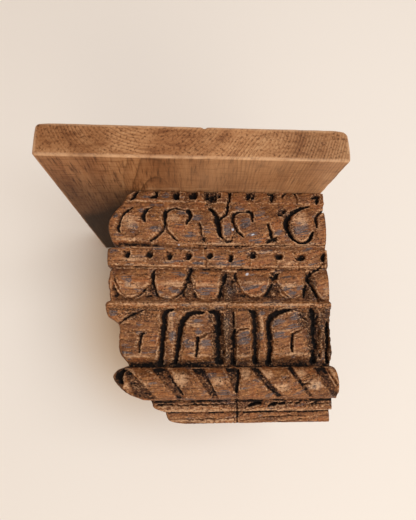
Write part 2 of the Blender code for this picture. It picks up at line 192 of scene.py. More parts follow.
ROPE_TOP, ROPE_FOOT = 129.5, 151.0
turn = np.linspace(0, 1, 26)
rope_v = (ROPE_TOP + ROPE_FOOT) / 2 - (ROPE_FOOT - ROPE_TOP) / 2 * np.cos(np.pi * turn)
rope_side = np.interp(rope_v, [129.5, 131, 133, 135, 139, 143, 147, 151],
                      [14.2, 9.5, 7.9, 7.8, 10.2, 14.5, 19.8, 28.5])
rope = np.stack([rope_v, 4.0 - 11.0 * np.sin(np.pi * turn), rope_side], axis=1)
stations = np.concatenate([
    between(0.3, 8.0, (1.0, 0.3), (17.0, 10.6), (0.3, 1.8)),
    [(8.3, -0.3, 10.1), (9.6, -0.3, 9.3), (10.3, 1.6, 8.8)],
    between(10.8, 40.6, (2.6, 1.0), (8.2, 2.8), (3.0, 5.4), 30),
    [(41.6, 1.9, 4.2), (42.6, 2.8, 7.0), (43.8, 3.6, 7.9), (44.5, 3.2, 5.0), (44.9, 0.3, 0.4)],
    between(45.2, 57.6, (0.0, 0.0), (0.0, 0.0), (0.2, 0.4)),
    [(58.4, 0.1, 0.2), (58.8, 2.6, 3.4), (60.0, 2.6, 3.4)],
    between(60.6, 81.6, (1.6, 1.2), (1.6, 1.8), (0.9, 0.6), 20),
    [(82.6, 2.0, 2.2), (83.6, 1.6, 1.4)],
    between(84.0, 88.6, (-0.4, -0.6), (0.9, 0.3), (1.6, 0.5), 10),
    between(89.4, 101.0, (0.6, 3.2), (0.3, 9.4), (0.0, 0.0), 3)[:1],
    [(92.0, 1.6, 0.9), (94.7, 2.4, 2.2), (96.8, 2.8, 5.8), (99.8, 3.1, 9.3), (102.8, 3.2, 10.4)],
    between(108.0, 116.0, (3.2, 3.2), (9.8, 10.0)),
    [(119.0, 3.2, 10.8), (120.6, 3.3, 11.7), (122.0, 4.0, 12.6), (123.6, 5.0, 13.8), (125.0, 6.3, 15.0)],
    [(126.4, 7.9, 16.0), (127.8, 9.4, 16.6), (129.3, 10.0, 16.8)],
    rope,
    [(151.3, 9.6, 31.4), (151.8, 10.6, 33.0)],
    between(152.2, 157.2, (10.4, 10.4), (33.0, 34.4), (0.3, 0.3)),
    [(158.6, 10.5, 37.2), (159.6, 10.9, 40.4), (160.2, 11.4, 41.6), (160.5, 17.4, 42.4)],
    between(160.9, 166.4, (17.8, 17.8), (42.8, 44.2), (0.3, 0.2)),
    [(167.6, 17.8, 46.4), (168.6, 18.1, 50.0), (169.3, 19.0, 56.0)],
])
print("profile of", len(stations), "stations, from", stations[0, 0], "to", stations[-1, 0])


# %% Rows spread along the profile
def profile_rows(count):
    """Resamples the stations at even steps of length, in which depth counts half, then blurs them
    over three rows twice, which rounds the edges."""
    change = np.diff(stations, axis=0) * np.array([1.0, 0.5, 0.12])
    length = np.concatenate([[0], np.cumsum(np.sqrt((change**2).sum(axis=1)))])
    rows = np.stack([np.interp(np.linspace(0, length[-1], count), length, stations[:, k]) for k in range(3)],
                    axis=1)
    for _ in range(2):
        rows[1:-1] = (rows[:-2] + 2 * rows[1:-1] + rows[2:]) / 4
    return rows


print("rows", profile_rows(5).round(1).tolist())


# %% A front that wavers
def wavering_front(rows, u, v, seed):
    """The front's distance behind the drilled band at (u, v): the profile read a little higher or
    lower, by up to 0.6 mm from place to place, and 1.3 mm higher near the left end of the quirk."""
    waver = 0.5 * cloud(u / 11, v / 6, seed, 3) + 0.25 * cloud(u / 2.6, v / 3, seed + 9, 2)
    lifted = 1.3 * step((92 - u) / 25) * np.exp(-((v - 46) / 13)**2)
    return np.interp(v + waver + lifted, rows[:, 0], rows[:, 1])


print("the drilled band stands at", BAND_FRONT, "mm from the board's front")

# %% [markdown]
# ## Where the cuts were measured
# The cuts were measured on one flat upright plane just in front of the block, as the camera sees
# them. A moulding behind that plane looks smaller and nearer to the middle of the picture. So each
# point of the wood is first carried to the measuring plane, along the line to the camera.

# %% Camera and measuring plane
CAMERA_U, CAMERA_W, CAMERA_V = 93.3, -237.74, 114.24
CARVING_PLANE, ROPE_PLANE = 54.0, 50.0


def on_plane(u, w, v, plane):
    """Where the line from the camera to (u, w, v) meets the plane: offsets from the camera shrink
    by the plane's distance over the point's distance."""
    share = (plane - CAMERA_W) / (w - CAMERA_W)
    return CAMERA_U + (u - CAMERA_U) * share, CAMERA_V + (v - CAMERA_V) * share


print("a point on the step is measured at",
      [round(float(x), 1) for x in on_plane(150.0, 65.0, 155.0, ROPE_PLANE)])

# %% [markdown]
# ## The bands of carving
# Each band is a table of cuts: the points of a curve as (u, v, half width), then the depth. The
# carver's hand wanders, so the tables keep each scroll's own shape. Every face is a function of
# (u, v), so the same band runs over the joint between the blocks.

# %% Band 1: cut holes under the board
HOLE_CUTS = [
    ([(58.6, 1.2, 0.8), (56.6, 4.5, 1.3), (54.4, 7.8, 0.6)], 5),
    ([(73, 0.4, 0.7), (72.8, 3.4, 1.1), (71.2, 5.4, 1.4), (68.8, 5.8, 0.8)], 5),
    ([(98.2, 6, 0.5), (98, 10, 0.3)], 1.5), ([(112.5, 7, 0.9), (110.6, 10.6, 0.4)], 3),
    ([(116.2, 6, 0.8), (112.4, 11.2, 0.4)], 3),
    ([(128, 0, 1.2), (127.8, 5, 1.3), (127, 9, 0.8), (126.4, 12.5, 0.9), (125.6, 18, 0.8), (123, 20.2, 0.7),
      (120, 21.7, 0.8)], 5),
    ([(143.2, 0, 1.4), (143.2, 3, 1.5), (141.2, 6.2, 0.8)], 4), ([(145, 2, 0.8), (147.4, 3.4, 0.5)], 3),
    ([(158.3, 1.4, 1), (161, 2.6, 1.8), (160.4, 5, 1.2), (160, 8.4, 0.4)], 4.5),
    ([(162.5, 1.4, 0.9), (165.6, 2.4, 0.6)], 3), ([(170.4, 1, 0.8), (168, 4.6, 0.8)], 3),
    ([(177.8, 1, 0.7), (179, 4, 0.6), (179.8, 10, 0.3)], 2.5),
    ([(191.3, 4.6, 0.8), (193.5, 4, 1), (195.5, 3.6, 1.7), (195.2, 7, 1), (194.8, 9.2, 0.4)], 4.5),
    ([(149, 14.6, 0.3), (157.3, 11.3, 0.4), (170.7, 9, 0.3)], 0.9),
]
# Each hole is its middle, its half width and height, its depth, and how square it is
HOLE_PITS = [
    ((86.8, 3), (2.7, 3.6), 5, 5), ((99.2, 2.6), (3.7, 3.8), 5, 4), ((113.4, 3.6), (4.2, 5), 4, 3),
]
print(len(HOLE_CUTS), "cuts and", len(HOLE_PITS), "holes")

# %% Band 2: scrolls
SCROLL_CUTS = [
    ([(55.4, 13.8, 0.3), (52.4, 16, 0.7), (49.6, 18.4, 0.9), (47.6, 21.4, 1), (46.1, 25.8, 1.2),
      (45.7, 30.4, 1), (47.2, 33.2, 0.4)], 4.5),
    ([(47.6, 33.4, 0.3), (50.2, 35.8, 0.3), (54, 36.6, 0.4), (58.4, 35.2, 0.4), (60.4, 32, 0.3)], 1.3),
    ([(69, 13.6, 0.4), (66, 15.4, 1), (64.2, 18.2, 1.4), (63.4, 21, 1.7), (64.2, 23.2, 1),
      (65, 24.6, 0.3)], 5),
    ([(63.6, 22, 1.2), (60.4, 22.2, 0.3)], 3.5),
    ([(79.4, 26, 0.9), (78.6, 29.2, 1.2), (76.4, 33, 1.2), (73, 36.4, 1), (69.4, 39, 0.5)], 4),
    ([(81, 15.8, 0.9), (79.4, 18.6, 1.3), (79.2, 22, 1), (79.6, 26, 0.8)], 5.5),
    ([(79.8, 17.6, 1), (82.7, 15.2, 0.9), (86, 14.6, 0.7), (90, 15, 0.4), (94.3, 15.4, 0.3)], 3.5),
    ([(80.2, 26, 0.9), (81.2, 30.4, 0.8), (83.2, 33.8, 0.7), (85.6, 36.2, 0.7), (89.3, 39.2, 0.3)], 3),
    ([(97, 15.8, 1.1), (98, 18.6, 1.7), (97.6, 22.4, 1.3), (96, 25.4, 0.5), (95, 27, 0.2)], 5.5),
    ([(105.2, 25, 0.4), (105.7, 28, 1), (106.2, 31.4, 0.8), (106.6, 34, 0.4)], 4),
    ([(106.4, 34.6, 0.5), (107.6, 37.6, 0.9), (108.8, 39.2, 0.5)], 2.5),
    ([(110.2, 33, 0.25), (110.2, 40.4, 0.3)], 1.2),
    ([(113.2, 13.6, 0.8), (116.2, 16.6, 1.5), (118, 20.4, 2), (118.8, 25.4, 2.3), (119.4, 30, 1.7),
      (121, 34.2, 0.9), (122.6, 36.8, 0.5)], 6.5),
    ([(119.6, 22.2, 1.6), (122.6, 20, 0.9), (125.4, 17.6, 0.8)], 5),
    ([(121.6, 35.4, 0.5), (123.8, 38.3, 0.6), (126.6, 39.3, 0.8), (128.8, 37.8, 0.6), (129.8, 35, 0.4)], 3),
    ([(137.7, 36, 0.5), (134.8, 32.5, 0.6), (132.3, 28.3, 0.8), (130.3, 25, 1.1), (129.8, 21.5, 1.4),
      (131, 18.2, 1.1), (134.8, 16.9, 0.7), (138, 16.6, 0.5), (141, 16.6, 0.7)], 4.5),
    ([(141.4, 16, 0.9), (143.7, 17, 1.5), (144.9, 19.5, 1.1), (145, 22, 0.7), (145.2, 24.6, 0.3)], 4.5),
    ([(145.3, 24.6, 0.3), (147.2, 27.4, 0.2)], 1.5),
    ([(156.6, 25.6, 0.5), (157.4, 29, 0.9), (158.6, 33, 1.2), (158.8, 35.4, 1.2)], 5),
    ([(155.4, 39.8, 0.5), (158.2, 37.9, 1.3), (161, 36.5, 1), (163.2, 35.4, 0.4)], 4.5),
    ([(188.4, 10.8, 0.6), (184, 12.2, 1.1), (180.7, 13.8, 1.3), (175.7, 16.6, 1.8), (172, 20.4, 2.4),
      (170.6, 24.6, 2.6), (171, 28.8, 2.2), (172.5, 32, 1.6), (174.5, 35.5, 1), (177.3, 38.2, 0.9),
      (181.5, 39.5, 0.9), (185.5, 38.7, 0.9), (188.5, 36.2, 1), (190.2, 33.6, 0.9), (191, 30.8, 0.4)], 6.5),
    ([(199.6, 14.6, 0.9), (196.2, 16.4, 0.9), (194.2, 19, 1), (193.5, 22.5, 1.2), (193.9, 26, 0.8),
      (194.1, 28.4, 0.3)], 4.5),
    ([(165.2, 18.2, 0.9), (168, 16.4, 1.4), (170.2, 14.8, 0.7)], 3.5),
    ([(185.4, 15.4, 0.2), (187.6, 19, 0.25), (190.6, 23.8, 0.2)], 0.8),
    ([(184.6, 19.6, 0.2), (189, 18.2, 0.3), (193, 15.4, 0.3)], 0.8),
]
SCROLL_DOMES = [
    ((53.5, 27), (8.5, 9.5), 1.6), ((70, 26), (9.4, 12), 2.2), ((88.2, 25), (8.6, 10.5), 2),
    ((105, 25), (12, 12), 1.6), ((125.8, 28.8), (5, 10.6), 2.2), ((138.4, 25), (8.2, 9.6), 1.8),
    ((152, 24), (9, 12), 1.2), ((181.6, 25.6), (9.6, 13.8), 2.4), ((163.5, 27), (6.5, 9.5), 1.4),
    ((45, 25), (5, 12), 0.8), ((197, 27), (5, 14), 1),
]
SCROLL_RIDGES = [
    ([(77, 18.6, 0.7), (77.5, 25, 0.8), (75, 31.4, 0.8), (71, 35.4, 0.7), (66.6, 39.2, 0.6)], 0.9),
    ([(42, 37.6, 0.9), (52, 38.6, 1), (62, 39.4, 0.9), (66, 39.6, 0.5)], 0.8),
    ([(44, 14.6, 0.5), (47.6, 16, 0.6), (44.8, 21, 0.6), (43, 27, 0.6)], 0.5),
    ([(126.6, 18.6, 0.4), (129, 24, 0.5), (130.4, 30, 0.5), (128.6, 36, 0.4)], 0.7),
    ([(183.6, 11.6, 0.5), (189, 13, 0.6), (190.6, 21, 0.5), (190.6, 28, 0.5)], 0.6),
    ([(150, 13.2, 0.4), (158, 10.8, 0.5), (170, 8.6, 0.5)], 0.5),
]
print(len(SCROLL_CUTS), "cuts over", len(SCROLL_DOMES), "cushions, with", len(SCROLL_RIDGES), "ridges")

# %% Band 3: drilled holes and checks
DRILLS = [
    ((52.3, 49), (2.2, 3.3)), ((68.5, 49.5), (2.9, 3.1)), ((82.7, 50.4), (2.6, 3.4)),
    ((96.5, 50), (3, 3.4)), ((112, 49.2), (2.8, 3.5)), ((127.8, 50.8), (2, 3.8)),
    ((143.6, 49.4), (3.3, 2.8)), ((163.3, 50), (3.5, 2.9)), ((179.9, 50.3), (4, 3.2)),
    ((196.8, 49.8), (2.2, 4.2)),
]
BAND_CUTS = [
    ([(50.2, 46.6, 0.3), (52, 48.4, 1)], 3), ([(66.2, 51.6, 0.6), (69.4, 46.4, 0.6)], 3),
    ([(80.8, 46.4, 0.3), (82.4, 49, 0.8)], 2), ([(94.2, 51.8, 0.5), (97.8, 46.6, 0.5)], 3),
    ([(125.6, 47, 0.4), (127.4, 49.4, 0.8), (128, 54.2, 0.3)], 3),
    ([(140.6, 50.4, 0.7), (144.6, 47, 0.9), (147.2, 48.8, 0.4)], 3.5),
    ([(174.4, 45.6, 0.4), (177.6, 49.6, 0.7)], 2),
    ([(176.2, 51.6, 0.5), (179, 53, 0.8), (183, 51.4, 0.5)], 3),
    ([(92.7, 53.2, 0.2), (92.5, 57.8, 0.3)], 1), ([(109.8, 44.8, 0.35), (109.9, 58.6, 0.35)], 2.5),
    ([(126.4, 55, 0.2), (126.2, 58.2, 0.4)], 1.5), ([(141.8, 52, 0.3), (142.2, 58, 0.35)], 2),
    ([(161.8, 53, 0.3), (162.2, 57.4, 0.2)], 1.5), ([(178.8, 53, 0.3), (178.5, 59.4, 0.35)], 2),
    ([(197.8, 52, 0.3), (197.6, 59.6, 0.35)], 2),
    ([(104, 42.6, 0.3), (130, 42.9, 0.5), (152, 42.3, 0.3), (199, 41.6, 0.45)], 2.4),
    ([(104, 59.6, 0.3), (122, 60.2, 0.3), (150, 59.8, 0.4), (176, 58.9, 0.3), (196, 58.6, 0.4)], 1.8),
    ([(48, 41.8, 0.3), (60, 42.3, 0.2), (76, 42.5, 0.3)], 1.2),
    ([(42, 58.8, 0.25), (70, 59, 0.3), (98, 59.6, 0.3)], 1.2),
]
print(len(DRILLS), "drilled holes")

# %% Band 4: hanging half rounds
ROUNDS_TOP, ROUNDS_FOOT = 61.0, 83.6
# Each half round is its middle, its half width and its foot
LUNETTES = [
    (30.6, 13.8, 81.5), (57.3, 13.6, 81.2), (84, 11.9, 82.2), (110.3, 11.2, 83.2), (145, 12.4, 80.2),
    (172, 11, 81.4), (200.2, 13.2, 83),
]
LUNETTE_CUTS = [
    ([(44, 66.6, 0.4), (45.4, 70.6, 0.8), (47, 73.4, 0.9), (49, 76.4, 0.4), (53, 80.6, 0.3)], 3),
    ([(70.8, 71.4, 0.6), (68, 73.4, 1.2), (65.4, 76.4, 1.5), (62.6, 79.2, 0.8), (57.4, 81.2, 0.4)], 4),
    ([(72, 61.6, 0.4), (71.6, 64, 1.2), (71.6, 67, 1.4), (72.2, 71, 0.9), (73.2, 75, 0.8),
      (74.8, 78.8, 0.5)], 5),
    ([(95.6, 70.6, 0.5), (94.2, 73.6, 1.3), (92, 77.2, 1.4), (88.2, 80.4, 0.8), (84, 82.2, 0.4)], 4),
    ([(98.9, 59.8, 0.6), (98.2, 63, 1.2), (97, 66, 1.2), (95.6, 68.6, 0.4)], 5),
    ([(101, 70, 0.3), (102.6, 76, 0.3), (105.6, 80.6, 0.3)], 1.5),
    ([(124.6, 63.8, 1), (123.6, 67.4, 2), (122.6, 70.6, 1.2), (121, 73.6, 0.9), (120.4, 77, 1.2),
      (119.4, 82.4, 1.1)], 5.5),
    ([(131, 63.6, 1.5), (130.8, 66.6, 1.4)], 5),
    ([(132.4, 68.6, 0.4), (134, 73, 0.6), (136.5, 77.2, 0.5), (139.8, 79.2, 0.4)], 2),
    ([(158.6, 70.2, 0.6), (157, 73, 1.5), (155, 76.6, 1.7), (153.4, 79.4, 1)], 5),
    ([(157, 65.4, 0.6), (159.6, 66.4, 2.2), (161.6, 64, 1), (163.4, 63.2, 0.4)], 5.5),
    ([(159.6, 68, 0.9), (159.6, 70.4, 0.5)], 3.5),
    ([(161.6, 70.2, 0.4), (163.4, 73.8, 0.7), (166, 77, 0.8), (169.2, 80.4, 0.5)], 3),
    ([(183.4, 71, 0.8), (182.2, 75, 1.5), (181.4, 80.6, 1.1)], 5),
    ([(187.4, 62.6, 0.8), (185.4, 65.4, 1.8), (185, 68.4, 1.4), (187.4, 73, 1.1), (190, 77.4, 1.3),
      (191.8, 83, 1)], 5.5),
    ([(186.2, 64, 0.9), (190, 61.2, 0.7), (193.6, 58.8, 0.6), (197.2, 55.4, 0.5)], 3.5),
]
LUMPS = [
    ((67.7, 77.4), (2.3, 2.1), 2.6), ((97.4, 76), (4, 6.4), 2.6), ((125.6, 77.6), (3.6, 6.4), 3),
    ((131, 74), (2.6, 5.4), 2.4), ((158.6, 77.6), (2.1, 2.8), 2.8), ((186.2, 77), (2.6, 5), 2.4),
    ((164, 78.6), (2, 2), 1.6),
]
print(len(LUNETTES), "half rounds")

# %% Band 5: arches on posts
ARCH_CUTS = [
    ([(50, 98.8, 0.4), (52.4, 96.4, 0.6), (55.2, 94.4, 0.8), (58, 93, 0.8), (61, 91.9, 0.7),
      (66, 89.6, 0.4)], 2.6),
    ([(86.2, 89.4, 0.5), (82.6, 90.2, 1.2), (80.4, 93, 1.8), (80, 98, 1.9), (79.8, 104, 1.7),
      (79.4, 110, 1.5), (78.8, 117, 1.6), (78.4, 126, 1.3)], 7),
    ([(58, 104.9, 0.2), (63, 104.7, 0.3), (66.5, 104.6, 0.5), (69.6, 104.2, 0.3)], 1.8),
    ([(66.4, 105.8, 0.9), (64.4, 106.8, 1.1), (63.9, 110.4, 0.8), (63.6, 115, 0.8), (63.4, 119.4, 0.4)], 4),
    ([(108.4, 91.4, 0.5), (102.4, 91.6, 1), (97.6, 92.8, 1.6), (94.2, 95.8, 1.9), (92, 101, 1.8),
      (90.8, 107.7, 1.7), (90.2, 114, 1.6), (89.2, 120, 1.4), (88.2, 127, 1.1)], 7),
    ([(109.8, 106.8, 0.4), (107.4, 108.5, 0.8), (105, 109.3, 0.7), (102.6, 108.9, 0.3)], 3),
    ([(104, 109.2, 1), (103.7, 112, 0.9), (103.4, 117, 0.8), (103, 122.4, 0.4)], 5),
    ([(112.4, 91, 0.6), (116.4, 91.6, 1.6), (118.3, 95.6, 2.5), (118.3, 104, 2.6), (118.5, 112, 2.7),
      (118.7, 120, 2.5), (118.8, 127.4, 2)], 8),
    ([(130.6, 103.6, 0.7), (129.4, 106.4, 1.4), (128.6, 110.4, 2.3), (128.4, 116, 2.4), (128.5, 121, 1.9),
      (128.8, 127, 1.4)], 7),
    ([(129.2, 90.6, 0.6), (129.3, 97, 0.7), (129.2, 103.4, 0.6)], 3.5),
    ([(140, 102.9, 0.3), (135.7, 103.5, 0.6), (132.2, 104.8, 0.8), (130, 106.6, 1)], 3.5),
    ([(141.4, 90, 0.7), (144, 92.4, 1.9), (144.9, 98, 2.1), (144.8, 106, 2.3), (144.8, 113, 2.1),
      (144.4, 119, 1.9), (143.8, 127, 1.5)], 7),
    ([(170.9, 89.3, 0.5), (167, 90, 1), (163.6, 91, 1.4), (160, 92.4, 1.7), (156.8, 94.6, 1.9),
      (154.6, 98.2, 1.8), (153.9, 103.4, 1.9), (154.7, 109, 1.8), (155.2, 114.5, 1.7), (154.4, 120, 1.6),
      (153.2, 127.6, 1.1)], 7),
    ([(177.2, 104, 0.5), (174.2, 105.4, 0.9), (170.6, 106.3, 0.6)], 3.5),
    ([(171.4, 106.6, 1.1), (171.1, 111, 0.9), (170.8, 115, 0.7), (170.6, 119, 0.4)], 5),
    ([(157, 118.5, 0.3), (162, 117.2, 0.4), (166, 115.8, 0.4), (170, 114.7, 0.3)], 1.8),
    ([(186.2, 89.2, 1.4), (187, 94, 2.6), (187.4, 100, 2.7), (187.4, 108, 2.6), (187.4, 116, 2.4),
      (186.3, 122, 1.8), (185, 128, 1.2)], 7.5),
    ([(197.8, 98.6, 0.6), (197.1, 104, 1.4), (197, 110, 1.6), (196.4, 116, 1.4), (195.8, 121, 1.2),
      (195, 128, 0.8)], 6),
    ([(177.4, 92.6, 0.5), (179.4, 95, 0.8), (182.4, 96.6, 1)], 2.5),
    ([(178.6, 97.6, 0.6), (181.8, 99.6, 0.8)], 2),
    ([(171.8, 88.8, 0.4), (177, 90.4, 0.4), (183, 91, 0.8)], 1.5),
    ([(71, 92.6, 0.3), (74.4, 95.8, 0.5), (77, 99, 0.5)], 1.2),
    ([(110.4, 91.8, 0.4), (112.6, 95, 0.5), (114.4, 99.6, 0.6)], 2),
]
ARCH_CUTS = [([(u, v, 1.3 * half) for u, v, half in line], 0.78 * depth) if depth > 6 else (line, depth)
             for line, depth in ARCH_CUTS]  # the deep ones are widened by wear
ARCH_DOMES = [
    ((85.4, 93.2), (3.6, 3.6), 1.1), ((123.6, 93.4), (2.6, 3), 1), ((123.8, 99.2), (2.4, 2.6), 0.9),
    ((123.6, 106), (2.4, 3.2), 0.8), ((149.2, 93.2), (3, 3.4), 1.1), ((134.6, 97.4), (5, 5.4), 0.9),
    ((64, 108), (13.6, 17), 0.8), ((103.6, 110), (11, 15), 0.8), ((170.4, 108), (14.2, 17), 0.9),
]
# Pits where wood has broken out: middle, half sizes and depth
BROKEN_PITS = [
    ((110.6, 3.2), (2, 3.4), 4.5), ((113.8, 5.4), (1.8, 2.8), 4.5), ((116.2, 2.6), (1.4, 2.4), 3.5),
    ((119.6, 3.4), (1.2, 2.2), 3), ((141.6, 2.8), (1.6, 2.4), 4), ((145.4, 4.4), (1.4, 1.8), 3.4),
    ((168.4, 15.4), (2.4, 1.6), 3.5), ((166, 18), (1.6, 1.2), 3), ((160.4, 37.4), (2.4, 1.2), 3),
    ((107.8, 36.8), (1.6, 1.6), 3), ((115.8, 103.4), (2.4, 3), 4), ((121.2, 118), (2.2, 4), 4),
    ((126.6, 112), (2, 4.6), 4), ((116.2, 122.6), (2.2, 3), 4), ((127, 121), (2.4, 3.4), 4),
    ((120.8, 94), (1.6, 2.4), 3), ((189.8, 93), (1.5, 3), 3.4), ((190.4, 104), (1.3, 4), 3.4),
    ((190.2, 120.6), (1.5, 3.4), 3.4), ((183.8, 110), (1.4, 4), 3), ((193.6, 112), (1.2, 5), 3),
]
print(len(ARCH_CUTS), "cuts in the arches")

# %% Band 6: rope and steps
# Each rough strip between two strands is a wedge: its left and right edge at v 130, then at v 147
ROPE_STRIPS = [
    (52.6, 56.4, 61, 74), (72, 83.2, 87.6, 93.6), (99.4, 108.4, 111.4, 116.6), (122.6, 131.4, 129.4, 131.6),
    (139.6, 145.4, 155.6, 160), (166, 169.2, 178.4, 181.6), (184.6, 192.6, 195.4, 200),
]
ROPE_CUTS = [
    ([(54.6, 131, 0.4), (58.6, 136, 0.5), (66, 142, 0.4), (74, 147.6, 0.3)], 1.4),
    ([(83, 131.4, 0.7), (86.2, 137, 0.8), (90.2, 142.4, 0.7), (94, 146.8, 0.5)], 3.5),
    ([(108.2, 131.6, 0.6), (109.6, 136, 0.8), (112.6, 141, 0.7), (115.6, 145.4, 0.5)], 3.5),
    ([(131.4, 131.4, 0.9), (131.6, 136, 1.2), (130.8, 141, 0.9), (130.2, 146, 0.5)], 5),
    ([(143, 130.6, 1.5), (145.6, 135.4, 1.2), (149.2, 139.4, 0.9), (153.6, 143.8, 1),
      (159.2, 147.6, 0.6)], 3),
    ([(166.8, 130.8, 0.6), (170.2, 135.2, 0.5), (175.2, 140.4, 0.8), (178.2, 143.4, 0.6),
      (181.4, 147.6, 0.4)], 2.6),
    ([(175.6, 140.4, 0.8), (180.8, 140.8, 0.6)], 2.8),
    ([(184.8, 131, 0.5), (189, 137, 0.5), (195, 145.2, 0.4)], 2),
    ([(192.6, 130.6, 0.8), (195.4, 134, 0.7), (199.4, 140.6, 0.5)], 3),
    ([(50.6, 129.4, 0.7), (50, 134, 0.9), (51.2, 139, 0.7)], 2.5),
    ([(45.4, 136, 0.6), (50, 137.4, 0.7), (53.6, 138.6, 0.6)], 2),
    ([(59, 134, 0.3), (64, 137.4, 0.4), (69, 141.6, 0.3)], 1.2),
    ([(100.4, 134, 0.3), (106, 140, 0.4), (112, 145.6, 0.3)], 1.2),
]
STEP_CUTS = [
    ([(138.8, 154.6, 0.6), (142, 153.4, 1.2), (146.4, 152.6, 0.8)], 4),
    ([(152, 154.8, 0.5), (155, 153.8, 1.1), (157.8, 153, 0.6)], 4),
    ([(160, 153.6, 0.7), (162.4, 152.8, 0.9)], 3), ([(165.4, 153, 0.5), (168, 152.4, 0.4)], 2),
    ([(171, 153.2, 0.6), (172.4, 152.8, 0.5)], 2.5), ([(180.6, 153.6, 0.4), (184.4, 152.6, 0.4)], 1.8),
    ([(134, 155.4, 0.4), (138, 154.8, 0.3)], 1.2),
    ([(72, 153, 0.5), (100, 153.5, 0.5), (129, 153, 0.5)], 1.4),
    ([(76, 157.4, 0.25), (102, 156.6, 0.3), (129, 157.6, 0.25)], 0.8),
    ([(83, 162, 0.3), (105, 162.4, 0.4), (129, 161.8, 0.3)], 1.2),
    ([(85, 165.4, 0.3), (106, 165.8, 0.4), (128, 165, 0.3)], 1),
    ([(140, 166.4, 0.3), (158, 164.8, 0.4), (176, 163.2, 0.3)], 1),
    ([(134, 158.4, 0.3), (160, 157.4, 0.3), (192, 156.6, 0.3)], 0.9),
    ([(176, 154.4, 0.4), (193, 153.2, 0.4)], 1.4),
    ([(132, 163.4, 0.3), (150, 161.8, 0.4), (172, 160.6, 0.3)], 1),
    ([(130.1, 150, 0.3), (130.2, 158, 0.25), (130.3, 168, 0.4)], 2),
]
print(len(ROPE_STRIPS), "rough strips")

# %% Where the surface is broken
# Each patch is its middle, its half width and half height, and how broken it is
ROUGH_PATCHES = [
    (113.5, 4.5, 5.5, 6, 1.3), (143.5, 3.5, 3.6, 4.4, 0.9), (160.5, 4, 3.4, 4.4, 0.9),
    (193.6, 5, 3.6, 4.4, 1), (73, 3, 3, 3.6, 0.6), (112.5, 13, 4, 4, 0.7), (107.6, 37.4, 3, 3, 1),
    (168, 16.4, 3.6, 3.2, 1.1), (159, 38, 4.4, 2.2, 1), (131.6, 31, 2, 6, 0.9), (173, 31, 4, 8, 0.8),
    (124, 38.6, 4, 2, 0.7), (97.4, 75, 5, 9, 1), (126, 75, 6, 9, 1.2), (70, 77, 5, 5, 0.7),
    (159, 76, 5, 7, 0.9), (185.6, 74, 5, 9, 1.1), (98, 64, 3, 4, 0.7), (123.6, 66, 4, 5, 0.9),
    (60, 93.6, 13, 3.4, 0.8), (120, 111, 6, 17, 1.2), (126, 107, 5, 19, 1.2), (115, 95, 4, 5, 1),
    (145, 106, 3, 18, 0.6), (180, 97, 5, 6, 1.1), (186.6, 106, 5, 20, 1.3), (196, 106, 5, 20, 1.2),
    (91, 108, 3, 17, 0.5), (79.6, 105, 3, 18, 0.5), (154.6, 105, 3, 18, 0.5), (48, 135, 5, 8, 0.7),
    (140, 153.6, 20, 2.6, 0.6), (176, 153.4, 20, 2.6, 0.6), (100, 126.5, 60, 2.4, 0.6),
    (165, 126.5, 45, 2.4, 0.7),
]
print(len(ROUGH_PATCHES), "broken patches")

# %% [markdown]
# ## Depth of the front
# The depth at a point is the deepest cut there, plus the cushions and the wear. Weathered fibres
# lie level on the left block, and slant up to the right on the right one.


# %% Sum the bands
def deepest(u, v, cuts):
    """The largest of several cuts' depths at each point."""
    result = np.zeros_like(u)
    for points, depth in cuts:
        result = np.maximum(result, groove(u, v, points, depth))
    return result


def round_ground(v):
    """1 on the ground around the half rounds, and 0 above and below it, with soft ends."""
    return step((v - (ROUNDS_TOP + 0.5)) / 1.2) * step((ROUNDS_FOOT - v) / 1.0)


def carved(u, v):
    """Depth of bands 1 to 5 at measured places (u, v)."""
    cuts = deepest(u, v, HOLE_CUTS + SCROLL_CUTS + BAND_CUTS + LUNETTE_CUTS + ARCH_CUTS)
    for place, size, depth, square in HOLE_PITS + [(*one, 2.0) for one in BROKEN_PITS]:
        cuts = np.maximum(cuts, pit(u, v, place, tuple(1.15 * one for one in size), 1.25 * depth, square))
    for place, size in DRILLS:
        cuts = np.maximum(cuts, pit(u, v, place, size, 5.5, 2.2, 0.5))
    cushions = sum(dome(u, v, *one) for one in SCROLL_DOMES + ARCH_DOMES) - deepest(u, v, SCROLL_RIDGES)
    inside = np.zeros_like(u)
    crown = np.zeros_like(u)
    for centre, half, foot in LUNETTES:
        rho = ((np.abs(u - centre) / half)**2.6 + (np.maximum(v - ROUNDS_TOP,
                                                              0) / (foot - ROUNDS_TOP))**2.6)**(1 / 2.6)
        inside = np.maximum(inside, step((1 - rho) * 9 + 0.5))
        rim = 0.7 * np.exp(-((rho - 0.92) / 0.07)**2) * step((v - 66) / 4)
        crown = np.maximum(crown, 0.9 * np.clip(1 - rho**2, 0, 1) + rim)
    crown = crown - 1.5 * step((69.0 - v) / 8.0) * inside
    ground = 2.9 * (1 - inside) * round_ground(v)
    for place, size, height in LUMPS:
        ground = np.maximum(ground + dome(u, v, place, size, height), 0.3 * (ground > 0))
    return np.maximum(cuts, ground) + cushions - crown * ((v > 60) & (v < 84))


def along_rope(v, foot):
    """1 on the rope, from its upper edge down to foot, and 0 beyond, with soft ends."""
    return step((v - 129.0) / 1.5) * step((foot - v) / 2.0)


def in_strip(u, v, soft):
    """How far inside a rough strip a point of the rope is, from 0 to 1 over soft millimetres. The
    edges of a strip run straight from their places at v 130 to those at v 147."""
    down = (v - 130.0) / 17.0
    inside = np.zeros_like(u)
    for left, right, foot_left, foot_right in ROPE_STRIPS:
        from_left = u - left - (foot_left - left) * down
        from_right = right + (foot_right - right) * down - u
        inside = np.maximum(inside, step(from_left / soft + 0.5) * step(from_right / soft + 0.5))
    return inside * along_rope(v, 150.5)


